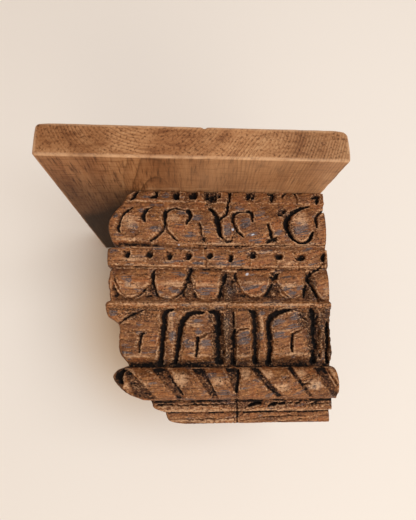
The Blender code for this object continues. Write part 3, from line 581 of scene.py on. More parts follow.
def roped(u, v):
    """Depth of the rope and the steps: rounded strands, and rough strips between them, deeper near
    their tops. Left of the rope's upright edge the surface turns back to the side."""
    strip = in_strip(u, v, 1.2)
    round_off = in_strip(u, v, 7.0) * (1 - strip)
    on_rope = along_rope(v, 151.5)
    cuts = np.maximum(deepest(u, v, ROPE_CUTS) * on_rope, 1.7 * deepest(u, v, STEP_CUTS))
    gap_at_top = 1.0 * in_strip(u, v, 2.0) * step((136.5 - v) / 6.0)
    turned_back = 5.5 * step((54.2 - u) / 1.4) * on_rope * step((145.0 - v) / 6.0)
    return np.maximum(1.9 * strip + gap_at_top, cuts) + 2.0 * round_off - 0.5 * on_rope + turned_back


def broken_at(u, v):
    """How broken the surface is at a place: full inside a patch, and gone a third of its size
    beyond it. The bead's lower edge and the rough strips of the rope count too."""
    amount = 1.0 * step(1.5 - np.abs(v - 89.5) / 1.2) + 0.9 * in_strip(u, v, 1.5) * (v > 129)
    for centre_u, centre_v, half_u, half_v, much in ROUGH_PATCHES:
        rho = np.hypot((u - centre_u) / half_u, (v - centre_v) / half_v)
        amount = np.maximum(amount, much * step((1.35 - rho) / 0.6))
    return amount


def undercut(cut):
    """Gives each cut a gentle left wall: a share of the depth of the next three points to the right
    counts too. The gouge was held so, and the light from the right falls on those walls."""
    spread = cut
    for count, share in ((1, 0.80), (2, 0.56), (3, 0.30)):
        moved = np.concatenate([cut[:, count:], np.repeat(cut[:, -1:], count, axis=1)], axis=1)
        spread = np.maximum(spread, share * moved)
    return spread


def worn(u, v, tilt, seed):
    """Wear: long fibres along the grain, hollows a few millimetres wide, and thin open checks.
    tilt is how far the grain rises for each millimetre to the right."""
    across = v + tilt * u
    fibres = 0.16 * cloud(u / 16, across / 1.6, seed) + 0.10 * cloud(u / 5, across / 0.9, seed + 5, 2)
    hollows = 0.30 * cloud(u / 7, v / 5, seed + 10) + 0.14 * cloud(u / 1.3, v / 1.2, seed + 12, 2)
    line = np.abs(lattice(u / 22, across / 2.6, seed + 20))
    open_here = step((lattice(u / 14, across / 7, seed + 30) - 0.15) / 0.3)
    return fibres + hollows + 0.9 * open_here * step((0.07 - line) / 0.07)


def front_depth(u, w, v, tilt, seed):
    """Depth of the whole front: carving above the rope, the rope and steps below it, and wear."""
    wander_u = 0.6 * cloud(u / 3.4, v / 3.4, seed + 40, 3) + 0.3 * cloud(u / 1.2, v / 1.2, seed + 43, 1)
    wander_v = 0.6 * cloud(u / 3.4 + 50, v / 3.4, seed + 50, 3) + 0.3 * cloud(u / 1.2, v / 1.2, seed + 53, 1)
    upper_u, upper_v = on_plane(u, w, v, CARVING_PLANE)
    lower_u, lower_v = on_plane(u, w, v, ROPE_PLANE)
    lower = step((v - 126.5) / 2.0)
    cut = (carved(upper_u + wander_u, upper_v + wander_v) * (1 - lower)
           + roped(lower_u + wander_u, lower_v + wander_v) * lower)
    cut = undercut(cut * (1 + 0.25 * cloud(u / 2.6, v / 2.6, seed + 65, 2)))
    broken = broken_at(upper_u, upper_v) * (1 - lower) + broken_at(lower_u, lower_v) * lower
    crumbs = np.abs(cloud(u / 1.7, v / 1.5, seed + 60, 2)) * 1.7 - 0.3
    return cut + worn(u, v, tilt, seed) + broken * crumbs


print("the front is worked out as one function of (u, v)")

# %% [markdown]
# ## Hollows and worn edges as attributes
# Old dirt stays black in every hollow, which is also painted dark as shade, and hands rub every edge
# pale. Both follow from the depth itself: where it is deeper than its own blurred copy there is a
# hollow, where it is shallower there is an edge. They are stored on the mesh as attributes, which the
# finish reads.


# %% Blur by running sums
def soften(grid, rows, columns):
    """Three box blurs of a grid, each a difference of running sums, which is close to a Gaussian."""
    for axis, reach in ((0, rows), (1, columns)):
        reach = max(1, int(reach))
        for _ in range(3):
            pad = [(reach + 1, reach) if k == axis else (0, 0) for k in range(2)]
            total = np.cumsum(np.pad(grid, pad, mode="edge"), axis=axis)
            count = grid.shape[axis]
            upper = np.take(total, np.arange(2 * reach + 1, 2 * reach + 1 + count), axis=axis)
            lower = np.take(total, np.arange(count), axis=axis)
            grid = (upper - lower) / (2 * reach + 1)
    return grid


def crumbled(depth, u, v, seed):
    """Breaks the edges: where the depth differs from its own blurred copy, noise about 1 mm wide is
    added to it, up to half a millimetre."""
    edge = np.clip(np.abs(depth - soften(depth, 2, 2)) / 0.5, 0, 1)
    return depth + edge * 0.65 * cloud(u / 1.5, v / 1.2, seed, 2)


def hollow_and_wear(depth, rows, columns):
    """Hollow is (depth - blurred depth) over 3 mm, wear the same difference the other way over
    0.45 mm against a blur of three points, both from 0 to 1."""
    wide = soften(depth, rows, columns)
    fine = soften(depth, 1, 1)
    return np.clip((depth - wide) / 3.0, 0, 1), np.clip((fine - depth) / 0.45, 0, 1)


def strip_dirt_and_shade(u, front, v):
    """Old grime and painted shade in the rope's rough strips, more near their tops."""
    rope_u, rope_v = on_plane(u, front + 0 * u, v + 0 * u, ROPE_PLANE)
    # Painted shade and grime, more near the strips' tops under the cavetto
    much = 0.34 + 0.14 * step((138 - rope_v) / 8)
    return in_strip(rope_u, rope_v, 1.6) * much * (1 + 0.8 * cloud(u / 1.6, v / 1.4, 79))


def shaded_bands(dirt_and_shade, u, v):
    """Painted shade with grime: less on the open ground below the half rounds, dark lines under the steps'
    ledges, and more in the cavetto above the rope, in patches.
    """
    under_rounds = step((v - 79.5) / 1.5) * step((84.8 - v) / 1.0)
    # Painted shadow lines under the steps' ledges
    lines = (np.exp(-((v - 152.6) / 0.9)**2) + 0.8 * np.exp(-((v - 161.6) / 0.8)**2)
             + 0.5 * np.exp(-((v - 164.8) / 0.5)**2))
    dirt_and_shade = dirt_and_shade + lines * np.clip(0.5 + 0.9 * cloud(u / 9, v / 1.2, 82), 0, 1)
    # Painted shade in the cavetto above the rope, where the rope hides the light
    cavetto = step((v - 120.5) / 9.0) * (v < 129.6)
    patchy = 1 + 1.0 * cloud(u / 3.5, v / 2.0, 80)
    dirt_and_shade = dirt_and_shade * (1 - 0.6 * under_rounds) * (1 - 0.35 * cavetto * patchy)
    return np.clip(dirt_and_shade + 0.36 * cavetto * patchy, 0, 1)


print("a blurred step:", soften(np.eye(9)[4:5].repeat(3, 0), 1, 1)[1].round(2).tolist())

# %% [markdown]
# ## One closed mesh for each block
# Each row of a block is a ring: along the left side, round the front corner, across the front, back
# along the joint and across the back. Rings at all rows make a tube, and fans close its two ends.


# %% Put a tube of rings into a mesh
def into_scene(name, points, faces, attributes, material):
    """A smooth mesh with its attributes and its material, as an object at the origin that rides on
    the root."""
    mesh = bpy.data.meshes.new(name)
    mesh.from_pydata(points, [], faces)
    mesh.polygons.foreach_set("use_smooth", np.ones(len(mesh.polygons), bool))
    for key, values in attributes.items():
        mesh.attributes.new(key, "FLOAT", "POINT").data.foreach_set("value", values.astype(np.float32))
    mesh.materials.append(material)
    piece = bpy.data.objects.new(name, mesh)
    bpy.context.scene.collection.objects.link(piece)
    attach(piece, "root")
    mesh.calc_loop_triangles()
    print(name, len(mesh.loop_triangles), "triangles")
    return piece


def tube(name, rings, attributes, material):
    """rings is (rows, columns, 3) in metres, going round anticlockwise as seen from above, from the
    top down. Neighbours make quads, and each end is closed by an inner ring and a fan."""
    rows, columns = rings.shape[:2]
    middle = [rings[k].mean(axis=0) for k in (0, -1)]
    inner = [ring * 0.7 + centre * 0.3 for ring, centre in ((rings[0], middle[0]), (rings[-1], middle[1]))]
    points = np.concatenate([rings.reshape(-1, 3), inner[0], inner[1], middle])
    index = np.arange(rows * columns).reshape(rows, columns)
    following = np.roll(index, -1, axis=1)
    quads = [np.stack([index[:-1], index[1:], following[1:], following[:-1]], axis=-1).reshape(-1, 4)]
    extra = rows * columns + np.arange(2 * columns).reshape(2, columns)
    after = np.roll(extra, -1, axis=1)
    quads.append(np.stack([index[0], following[0], after[0], extra[0]], axis=-1))
    quads.append(np.stack([following[-1], index[-1], extra[1], after[1]], axis=-1))
    tips = len(points) - 2, len(points) - 1
    fans = [np.stack([extra[0], after[0], np.full(columns, tips[0])], axis=-1),
            np.stack([after[1], extra[1], np.full(columns, tips[1])], axis=-1)]
    ends = np.zeros(2 * columns + 2)
    attributes = {key: np.concatenate([grid.ravel(), ends]) for key, grid in attributes.items()}
    return into_scene(name, points, np.concatenate(quads).tolist() + np.concatenate(fans).tolist(),
                      attributes, material)


print("tubes ready")

# %% [markdown]
# ## The finish of the carved wood
# The carving is an old red-brown hardwood, cut with gouges, then waxed, handled and left in dry air:
# satin on its high places, dull and near black in its cuts, with bluish-grey weathered streaks. The
# cuts are darkened by dirt and by painted shade, and rubbed places are partly painted pale as highlights.
# The colour comes from solid noise stretched along the grain, so it runs through the block as wood
# does. Fibres are 0.3 mm wide in the real wood, drawn here at about 1 mm, as fine as the render shows.


# %% Colours and one function for nodes
def linear(code):
    """sRGB hex to linear: c/12.92 up to 0.04045, else ((c + 0.055)/1.055) to the power 2.4."""
    c = np.array([int(code[k:k + 2], 16) for k in (1, 3, 5)]) / 255
    return (*np.where(c <= 0.04045, c / 12.92, ((c + 0.055) / 1.055) ** 2.4).tolist(), 1.0)


def add(tree, kind, inputs=None, stops=None, **settings):
    """Adds one node: settings are its properties, inputs its socket values or links, and stops the
    (place, colour) pairs of a colour ramp."""
    node = tree.nodes.new(kind)
    for key, value in settings.items():
        setattr(node, key, value)
    for key, value in (inputs or {}).items():
        if isinstance(value, bpy.types.NodeSocket):
            tree.links.new(value, node.inputs[key])
        else:
            node.inputs[key].default_value = value
    if stops:
        while len(node.color_ramp.elements) < len(stops):
            node.color_ramp.elements.new(0.5)
        for element, (place, tone) in zip(node.color_ramp.elements, stops):
            element.position = place
            element.color = linear(tone)
    return node


# Colours mixed by covering or by multiplying: sockets 0, 6 and 7 are the share and the two colours.
# A Map Range's sockets 0 to 4 are its value, from-min, from-max, to-min and to-max.
COVER = {"data_type": "RGBA"}
TINT = {"data_type": "RGBA", "blend_type": "MULTIPLY"}


def new_material(name):
    """An empty node tree with its output node."""
    material = bpy.data.materials.new(name)
    material.use_nodes = True
    material.node_tree.nodes.clear()
    return material, material.node_tree, material.node_tree.nodes.new("ShaderNodeOutputMaterial")


print("mid brown", [round(x, 3) for x in linear("#825d48")])


# %% Old carved hardwood
def carved_hardwood(name, grain_turn):
    """Old waxed hardwood, gouged and weathered, with painted shade and grime in its hollows and painted
    highlights on its rubbing marks. grain_turn is the angle of its grain about Y.
    """
    material, tree, output = new_material(name)
    place = add(tree, "ShaderNodeTexCoord").outputs["Object"]
    turned = add(tree, "ShaderNodeMapping", {"Vector": place, "Rotation": (0.0, grain_turn, 0.0)}).outputs[0]
    grain = []
    for scale, detail, roughness, distortion in (
            ((240.0, 850.0, 850.0), 6.0, 0.65, 0.0),  # fibres, 1.2 mm apart
            ((55.0, 110.0, 110.0), 3.0, 0.5, 0.0),  # broad red and pale bands
            ((9.0, 24.0, 24.0), 2.0, 0.5, 0.0),  # the swirl of the growth rings
            ((75.0, 1000.0, 1000.0), 4.0, 0.5, 0.0),  # grey streaks, 1 mm apart
            ((32.0, 300.0, 300.0), 4.0, 0.5, 0.4),  # checks, 30 mm long
            ((800.0, 1200.0, 1200.0), 2.0, 0.5, 0.0)):  # flecks about 1 mm across
        stretched = add(tree, "ShaderNodeMapping", {"Vector": turned, "Scale": scale}).outputs[0]
        grain.append(add(tree, "ShaderNodeTexNoise", {"Vector": stretched, "Scale": 1.0, "Detail": detail,
                                                      "Roughness": roughness,
                                                      "Distortion": distortion}).outputs["Fac"])
    fibres, broad, swirl, grey_streaks, checks, flecks = grain
    grey_amount, wear_and_painted_light, broken, dirt_and_shade, chip = [
        add(tree, "ShaderNodeAttribute", attribute_name=mark).outputs["Fac"]
        for mark in ("grey", "wear_and_painted_light", "broken", "dirt_and_shade", "chip")]
    mottle = add(tree, "ShaderNodeTexNoise",
                 {"Vector": place, "Scale": 480.0, "Detail": 4.0, "Roughness": 0.7}).outputs["Fac"]
    blend = add(tree, "ShaderNodeMix", {0: 0.5, 2: fibres, 3: mottle}).outputs[0]
    # Growth rings 3 mm apart: the distance from the heart, bent by the swirl
    across_grain = add(tree, "ShaderNodeMapping", {"Vector": turned, "Scale": (0.0, 1.0, 1.0),
                                                   "Location": (0.0, 0.09, 0.16)}).outputs[0]
    from_heart = add(tree, "ShaderNodeVectorMath", {0: across_grain}, operation="LENGTH").outputs["Value"]
    swirled = add(tree, "ShaderNodeMath", {0: swirl, 1: 0.02, 2: from_heart},
                  operation="MULTIPLY_ADD").outputs[0]
    rings = add(tree, "ShaderNodeMath", {0: swirled, 1: 330.0}, operation="MULTIPLY").outputs[0]
    ring = add(tree, "ShaderNodeMath", {0: rings}, operation="FRACT").outputs[0]
    # Where it is grey, rubbed or painted as highlight, dirty or painted as shade, pale or chipped: each
    # attribute is broken up by a pattern
    grey_some, patchy, fleck_pale, chip_mask = [
        add(tree, "ShaderNodeMapRange", {0: value, 1: low, 2: high, 3: least, 4: most}).outputs[0]
        for value, low, high, least, most in (
            (grey_streaks, 0.40, 0.54, 0.3, 1.0), (mottle, 0.35, 0.65, 1.35, 0.6),
            (flecks, 0.63, 0.71, 0.0, 0.55), (chip, 0.35, 0.75, 0.0, 0.9))]
    # The dark mark stands for dirt and painted shade in the cuts, the pale one for worn edges and painted
    # highlights
    grey_mask, wear_and_light_mask, dirt_and_shade_mask = [
        add(tree, "ShaderNodeMapRange", {
            0: add(tree, "ShaderNodeMath", {0: mark, 1: pattern}, operation="MULTIPLY").outputs[0],
            1: low, 2: high, 4: most}).outputs[0]
        for mark, pattern, low, high, most in (
            (grey_amount, grey_some, 0.16, 0.34, 0.85), (wear_and_painted_light, mottle, 0.14, 0.55, 0.85),
            (dirt_and_shade, patchy, 0.05, 0.62, 0.98))]
    # Dark marks: thin checks, pores, and flecks where the surface is broken
    check_gap = add(tree, "ShaderNodeMath", {0: checks, 1: 0.5, 2: 0.006}, operation="COMPARE").outputs[0]
    pores = add(tree, "ShaderNodeTexVoronoi", {"Vector": place, "Scale": 360.0, "Randomness": 1.0})
    pore_near = add(tree, "ShaderNodeMath", {0: pores.outputs["Distance"], 1: 0.20},
                    operation="LESS_THAN").outputs[0]
    pore_pick = add(tree, "ShaderNodeSeparateColor", {"Color": pores.outputs["Color"]}).outputs[0]
    pore_some = add(tree, "ShaderNodeMath", {0: pore_pick, 1: 0.5}, operation="GREATER_THAN").outputs[0]
    pore_mask = add(tree, "ShaderNodeMath", {0: pore_near, 1: pore_some}, operation="MULTIPLY").outputs[0]
    flecks_there = add(tree, "ShaderNodeMath", {0: broken, 1: -0.17, 2: flecks},
                       operation="MULTIPLY_ADD").outputs[0]
    fleck_dark = add(tree, "ShaderNodeMapRange", {0: flecks_there, 1: 0.39, 2: 0.32, 4: 1.0}).outputs[0]
    some_marks = add(tree, "ShaderNodeMath", {0: check_gap, 1: pore_mask}, operation="MAXIMUM").outputs[0]
    marks = add(tree, "ShaderNodeMath", {0: some_marks, 1: fleck_dark}, operation="MAXIMUM").outputs[0]
    marks_amount = add(tree, "ShaderNodeMath", {0: marks, 1: 0.8}, operation="MULTIPLY").outputs[0]
    tone, reds, ring_tone, dirt_and_shade_tone = [
        add(tree, "ShaderNodeValToRGB", {"Fac": value}, stops).outputs[0] for value, stops in (
            (blend, [(0.32, "#5c3920"), (0.42, "#7e5334"), (0.54, "#98693f"), (0.68, "#c4905a")]),
            (broad, [(0.35, "#c4b2a0"), (0.52, "#fff6ec"), (0.68, "#ffe2c8")]),
            (ring, [(0.0, "#ffffff"), (0.6, "#f2e6dc"), (0.93, "#b39a86"), (1.0, "#ffffff")]),
            (dirt_and_shade_mask, [(0.15, "#6a3f25"), (0.5, "#44230f"), (0.75, "#241209"), (0.98, "#0c0502")]))]
    # Layers of colour from the bottom up: rings, reds, grey, rubbed wear with painted highlights, pale
    # flecks, marks, dirt with painted shade, chips
    colour = tone
    for share, over, way in (
            (0.7, ring_tone, TINT), (1.0, reds, TINT), (grey_mask, linear("#574d4b"), COVER),
            (wear_and_light_mask, linear("#cf9f74"), COVER), (fleck_pale, linear("#d6ab80"), COVER),
            (marks_amount, linear("#24140b"), COVER), (dirt_and_shade_mask, dirt_and_shade_tone, COVER),
            (chip_mask, linear("#c9c6c8"), COVER)):
        colour = add(tree, "ShaderNodeMix", {0: share, 6: colour, 7: over}, **way).outputs[2]
    rough = add(tree, "ShaderNodeMapRange", {0: dirt_and_shade_mask, 1: 0.0, 2: 1.0, 3: 0.56, 4: 0.92}).outputs[0]
    rubble = add(tree, "ShaderNodeMath", {0: mottle, 1: 1.6, 2: fibres}, operation="MULTIPLY_ADD").outputs[0]
    height = add(tree, "ShaderNodeMath", {0: marks, 1: -0.5, 2: rubble}, operation="MULTIPLY_ADD").outputs[0]
    bump = add(tree, "ShaderNodeBump", {"Height": height, "Strength": 0.7, "Distance": 0.0005}).outputs[0]
    shader = add(tree, "ShaderNodeBsdfPrincipled",
                 {"Base Color": colour, "Roughness": rough, "Normal": bump, "Specular IOR Level": 0.2})
    tree.links.new(shader.outputs[0], output.inputs[0])
    return material


left_wood = carved_hardwood("old carved hardwood, level grain", 0.0)
right_wood = carved_hardwood("old carved hardwood, rising grain", math.radians(13))
print("finishes", [m.name for m in bpy.data.materials if "hardwood" in m.name])

# %% [markdown]
# ## Grey weathering
# The wood has turned blue-grey in patches along the grain, mostly on the flat faces. A patch is a
# soft ellipse, slanted with its block's grain. The table below puts the large ones where they are,
# and noise adds small ones between them.

# %% Grey patches
# Each patch is its middle, its half width and its half height
GREY_PATCHES = [
    (84, 92.5, 4, 2), (103, 97.3, 4, 1), (104, 104.5, 2.2, 2), (97.5, 112.5, 4, 3), (109, 113, 4, 3),
    (62, 16, 3, 1.5), (56, 29, 3.5, 3), (73, 30.5, 4, 2), (92, 18, 4, 1.6), (103, 21.5, 4, 2.2),
    (97, 34.5, 5, 1.8), (125.5, 30, 3.4, 5), (111, 31.5, 3, 1.4), (42.5, 20, 2.4, 2), (44, 92, 3.4, 1.8),
    (75, 44.8, 4, 1.4), (83, 55.5, 4, 1.4), (105, 51.8, 5, 1.2), (119, 52, 5, 1.4), (122, 56.6, 5, 1.6),
    (104, 55.8, 4, 1), (110.5, 75.3, 8, 1.4), (88, 76.5, 4, 1.4), (86, 108, 2.5, 3.5), (139, 25, 4, 3.5),
    (150, 17.5, 4, 2), (163, 32.5, 4, 2), (181, 29, 5, 6), (144, 34, 4, 1.4), (149, 39.4, 3, 1),
    (142, 73.6, 7, 1.4), (167, 74.5, 4, 1.4), (172, 78, 3, 1.4), (155, 84.6, 6, 1.2), (136, 106.5, 4, 1.5),
    (136, 111.5, 5, 2.5), (160, 107.5, 5, 2), (175, 94, 5, 2.6), (161, 99, 5, 3), (172, 101.5, 6, 1.6),
    (190, 94, 3, 1.8), (149, 92.6, 2.6, 1.6), (113, 135, 5, 2), (121, 146, 5, 1.6), (186, 141.5, 3.4, 2.4),
    (130, 54.5, 4, 2), (154, 46.5, 5, 1.4), (133, 57, 5, 1), (185, 45, 4, 1), (128, 76.5, 3, 3),
    (119, 88.4, 4, 1.2), (124, 98, 2.2, 4), (148, 108, 2.4, 3), (107.5, 88.6, 3, 0.8),
]

# Places painted pale as highlights and sheen, partly also rubbed by hands, in the same form
RUBBED_AND_LIT_PATCHES = [
    (57, 72, 10, 2.2), (84, 71, 9, 2.2), (110, 71.5, 9, 1.6), (145, 70.5, 8, 1.6), (171, 72, 6, 1.6),
    (198, 76, 3, 4), (70, 85.2, 24, 1), (112, 85.4, 22, 0.9), (165, 85.8, 30, 0.9), (54, 38.4, 11, 0.9),
    (93, 41.6, 10, 0.8), (122, 41, 12, 0.8), (160, 42, 14, 0.7), (75, 58, 25, 0.5), (122, 58, 22, 0.5),
    (170, 58, 22, 0.5), (118, 54, 6, 0.4), (74, 8.8, 20, 0.6), (118, 9, 14, 0.6), (64, 121.5, 12, 1),
    (104, 121, 8, 1), (171, 120.6, 11, 1.2), (63, 112, 4, 1.2), (85, 99, 1.6, 6), (124, 101, 1.6, 5),
    (149, 100, 1.6, 5), (136, 121.6, 5, 1), (63, 140.6, 6, 3), (91, 137, 5, 4), (117, 139, 4, 2.4),
    (137, 134, 3, 3), (151, 134, 5, 2.6), (163, 143, 5, 2.4), (176, 134, 4, 2.4), (185.6, 141.6, 4, 3),
    (198, 136, 2, 4), (100, 157.6, 28, 0.8), (160, 158.4, 30, 0.8), (106, 163.6, 22, 0.7),
    (160, 167, 28, 0.7), (54, 25, 5, 5), (86, 22, 4, 3), (181, 22, 6, 5), (104, 116, 6, 1.2),
    (165, 104, 5, 1), (102, 100.4, 5, 1.2), (152, 47.4, 9, 0.8), (56, 53, 8, 2), (170, 55, 6, 1.6),
]

# Fresh pale chips
CHIPS = [
    (129.8, 30.2, 1, 0.9), (139.6, 63.8, 1.2, 1), (89.8, 42.4, 0.7, 0.6), (144.6, 34, 1.3, 0.5),
    (145.6, 6.4, 0.8, 0.5),
]


def patched(u, v, patches, tilt):
    """The nearest of several soft ellipses, each 1 at its middle and falling to 0, slanted by tilt."""
    amount = np.zeros_like(u)
    for centre_u, centre_v, half_u, half_v in patches:
        across = (v - centre_v) + tilt * (u - centre_u)
        rho = ((u - centre_u) / half_u)**2 + (across / half_v)**2
        amount = np.maximum(amount, np.exp(-0.6 * rho**1.5))
    return amount


def greyed(u, v, tilt, seed):
    """How grey a point is: the nearest patch, plus noise."""
    amount = patched(u, v, GREY_PATCHES, tilt)
    ground = 0.55 * step((cloud(u / 9, (v + tilt * u) / 3, seed, 2) - 0.25) / 0.3)
    return np.clip(0.62 * np.maximum(amount, ground), 0, 1)


print(len(GREY_PATCHES), "grey patches and", len(RUBBED_AND_LIT_PATCHES), "rubbed ones")

# %% [markdown]
# ## What the two blocks share
# Both fronts are worked out in the same way, so two functions do it: one for the depth, and one for
# the dirt, wear and weathering that follow from it.

# %% A front and its marks
GRAIN_RISE = 0.23  # the right block's grain rises so far for each millimetre to the right
CHIP_TILT = 0.3
SEAM_SHARES = np.array([0.002, 0.008, 0.03, 0.12, 0.4, 0.75, 0.97, 0.995])[None]
BACK_SHARES = np.array([0.0, 0.005, 0.03, 0.15, 0.4, 0.6, 0.85, 0.97, 0.995, 1.0])[None]


def carved_front(rows, front_u, tilt, seeds):
    """The front's depth behind the moulding's profile: cuts, wear and waver, with crumbled edges."""
    level, everywhere = rows[:, 1:2], 0 * front_u
    v = rows[:, :1] + everywhere
    waver = wavering_front(rows, front_u, v, seeds[0]) - level
    depth = front_depth(front_u, BAND_FRONT + level + everywhere, v, tilt, seeds[1]) + waver
    return crumbled(depth + level, front_u, v, seeds[2]) - level


def front_marks(rows, front_u, depth, tilt, blur, seeds, more_shade=0.0):
    """The five marks on a front. The dark mark is old grime with painted shade in the hollows, and takes
    the rope's strips and any more shade too. The pale mark is worn edges with the rubbing marks and painted
    highlights, but not where it is dark."""
    front, v, everywhere = BAND_FRONT + rows[:, 1:2], rows[:, :1], 0 * front_u
    dirt_and_shade, wear_and_painted_light = hollow_and_wear(depth + 0.45 * rows[:, 1:2], *blur)
    # Painted shade and dirt: the hollows, the cavetto, the lines under the ledges and the rope's strips are
    # darkened
    dirt_and_shade = np.clip(shaded_bands(dirt_and_shade, front_u, v) + more_shade, 0, 1)
    dirt_and_shade = np.clip(dirt_and_shade + strip_dirt_and_shade(front_u, front, v), 0, 1)
    flat_u, flat_v = on_plane(front_u, front + everywhere, v + everywhere, CARVING_PLANE)
    # Painted highlights, with rubbing, on the listed pale places, stronger on the rope's strands
    rubbed_and_lit = (0.7 + 0.25 * (v > 129)) * patched(flat_u, flat_v, RUBBED_AND_LIT_PATCHES, 0.0)
    rubbed_and_lit = rubbed_and_lit * np.clip(1 - 2 * dirt_and_shade, 0, 1)
    along_grain = 1 + 0.9 * cloud(front_u / 3, (v + tilt * front_u) / 0.9, seeds[0])
    return {"dirt_and_shade": dirt_and_shade, "wear_and_painted_light": np.clip(wear_and_painted_light + rubbed_and_lit * along_grain, 0, 1),
            "broken": broken_at(flat_u, flat_v),
            "grey": greyed(flat_u, flat_v, tilt, seeds[1]), "chip": patched(flat_u, flat_v, CHIPS, CHIP_TILT)}


print("joint and back have", SEAM_SHARES.size, "and", BACK_SHARES.size - 1, "columns")

# %% [markdown]
# ## The left block
# Its mouldings turn the corner and run back along the left side, where the photograph shows only
# their edge. The side repeats the same bands more plainly, as old work of this kind does.


# %% Carving of the left side
def side_carved(s, v):
    """The bands on the side, s mm from the front corner: repeats of one hole, scroll, drilled hole,
    half round, arch and strand at a fixed pitch."""
    def fold(first, pitch):
        """Distance from the nearest copy of a mark that repeats each pitch from first."""
        return (s - first + pitch / 2) % pitch - pitch / 2

    scroll, far_scroll, arch = fold(25, 40), fold(37.5, 40), fold(30, 40)
    ring = np.hypot(scroll, v - 26.0)
    comma = np.hypot(scroll - 12.5, v - 18.5)
    far = np.hypot(far_scroll, v - 27.0)
    lunette = np.hypot(fold(20, 27) / 12.4, np.maximum(v - ROUNDS_TOP, 0) / 20.5)
    reach = np.where(v < 105, np.hypot(arch, v - 105), np.abs(arch))
    slid = (s - 22 - 0.75 * (v - 130) + 14.5) % 29 - 14.5  # the rope's strips slant back as they go down
    on_rope = along_rope(v, 151)
    strand = 1.4 * np.sqrt(np.clip(1 - ((slid - 14.5 + 29) % 29 - 14.5)**2 / 100, 0, 1))
    cuts = np.maximum.reduce([
        pit(fold(17, 18), v, (0, 4.6), (2.6, 3.2), 4.5),
        pit(fold(14, 17), v, (0, 50.2), (2.3, 3.0), 5.0),
        4.0 * step(1.2 - np.abs(ring - 9.4) / 1.1) * (scroll < 3.5),
        4.0 * step(1.2 - np.abs(comma - 4.8) / 1.1) * (scroll < 13) * (scroll > 5),
        3.6 * step(1.0 - np.abs(far - 9.4) / 1.0) * (far_scroll > 2),
        3.4 * step((lunette - 1) * 7 + 0.5) * round_ground(v),
        6.0 * step(1.3 - np.abs(reach - 14.5) / 1.4) * (v > 88) * step((126 - v) / 1.5),
        4.0 * step(1.3 - np.abs(arch) / 0.9) * (v > 105) * (v < 119),
        5.0 * step(1.3 - np.abs(fold(50, 40)) / 1.2) * (v > 92) * step((126 - v) / 1.5),
        on_rope * (2.4 * step((4.5 - np.abs(slid)) / 0.9 + 0.5))])
    raised = (1.2 * np.clip(1 - (scroll / 9)**2 - ((v - 26) / 10)**2, 0, 1)
              + 0.9 * np.clip(1 - lunette**2, 0, 1) * (v > 60) * (v < 84))
    return cuts - on_rope * strand - raised


side_test = side_carved(np.arange(60.0)[None] * 3, np.full((1, 60), 50.2))
print("drilled holes on the side are up to", round(float(side_test.max()), 1), "mm deep")


# %% Rings of the left block
def left_block():
    """Rings of the left block: side, rounded corner, front, joint and back, in that order."""
    rows = profile_rows(336)
    v = rows[:, :1]
    front, side = BAND_FRONT + rows[:, 1:2], BAND_LEFT + rows[:, 2:3]
    corner = 2.0
    right = seam_at(v) - SEAM_GAP
    front_u = (side + corner) + (right - side - corner) * np.linspace(0, 1, 172)[None]
    depth = carved_front(rows, front_u, 0.0, (31, 3, 7))
    s = np.linspace(1, 0, 88)[None] ** 1.05
    side_w = (front + corner) + (BOARD_DEPTH - front - corner) * s
    along = side_w - front
    side_depth = side_carved(along, v + 0 * along) * step((along - 4) / 4) + worn(along, v + 0 * along, 0.0,
                                                                                  70)
    side_depth = side_depth * step((BOARD_DEPTH - side_w) / 3)
    depth_at_corner = 0.5 * (depth[:, :1] + side_depth[:, -1:])
    depth = depth + (depth_at_corner - depth[:, :1]) * step(1 - (front_u - front_u[:, :1]) / 3)
    side_depth = side_depth + (depth_at_corner - side_depth[:, -1:]) * step(1 - (side_w - side_w[:, -1:]) / 3)
    angle = (np.arange(1, 6) / 6 * np.pi / 2)[None]
    bend = corner - depth_at_corner
    corner_u, corner_w = side + corner - bend * np.cos(angle), front + corner - bend * np.sin(angle)
    last_w = front + depth[:, -1:]
    seam_w = last_w + (BOARD_DEPTH - last_w) * SEAM_SHARES
    back_u = right + (side - right) * BACK_SHARES[:, :-1]
    rings = np.concatenate([
        to_metres(side + side_depth, side_w, v), to_metres(corner_u, corner_w, v),
        to_metres(front_u, front + depth, v),
        to_metres(right, seam_w, v), to_metres(back_u, BOARD_DEPTH, v)], axis=1)
    # Painted shade on the rope's turned-back left end
    rope_end_shade = (0.45 + 0.4 * cloud(front_u / 2, v / 3,
                                   83)) * step((54.0 - front_u) / 2.5) * (v > ROPE_TOP) * (v < 144)
    marks = front_marks(rows, front_u, depth, 0.0, (8, 9), (77, 95), rope_end_shade)
    side_dirt_and_shade, side_wear = hollow_and_wear(side_depth + 0.6 * rows[:, 1:2], 8, 3)
    # Painted shade on the side beside the rope's end
    rope_side_shade = (0.40 + 0.4 * cloud(along / 3, v / 3,
                                    84)) * step((16 - along) / 8) * (v > ROPE_TOP) * (v < 146)
    side_dirt_and_shade = np.clip(side_dirt_and_shade + rope_side_shade, 0, 1)
    flat = np.zeros_like(corner_u)
    rest = np.zeros((len(v), seam_w.shape[1] + back_u.shape[1]))
    before = {"dirt_and_shade": [side_dirt_and_shade, flat + side_dirt_and_shade[:, -1:]], "wear_and_painted_light": [side_wear, flat + 0.3],
              "broken": [0 * along + 0.2, flat + 0.2],
              "grey": [greyed(along, v + 0 * along, 0.0, 90) * 0.8, flat],
              "chip": [0 * along, flat]}
    attributes = {key: np.concatenate([*before[key], grid, rest], axis=1) for key, grid in marks.items()}
    piece = tube("carved_left", rings, attributes, left_wood)
    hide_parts("carved_block_left")


left_block()

# %% [markdown]
# ## The right block
# It starts at the joint and ends in a flat sawn face, flush with the board's end. The saw leaves
# faint upright ridges there, 2.5 to 5 mm apart.


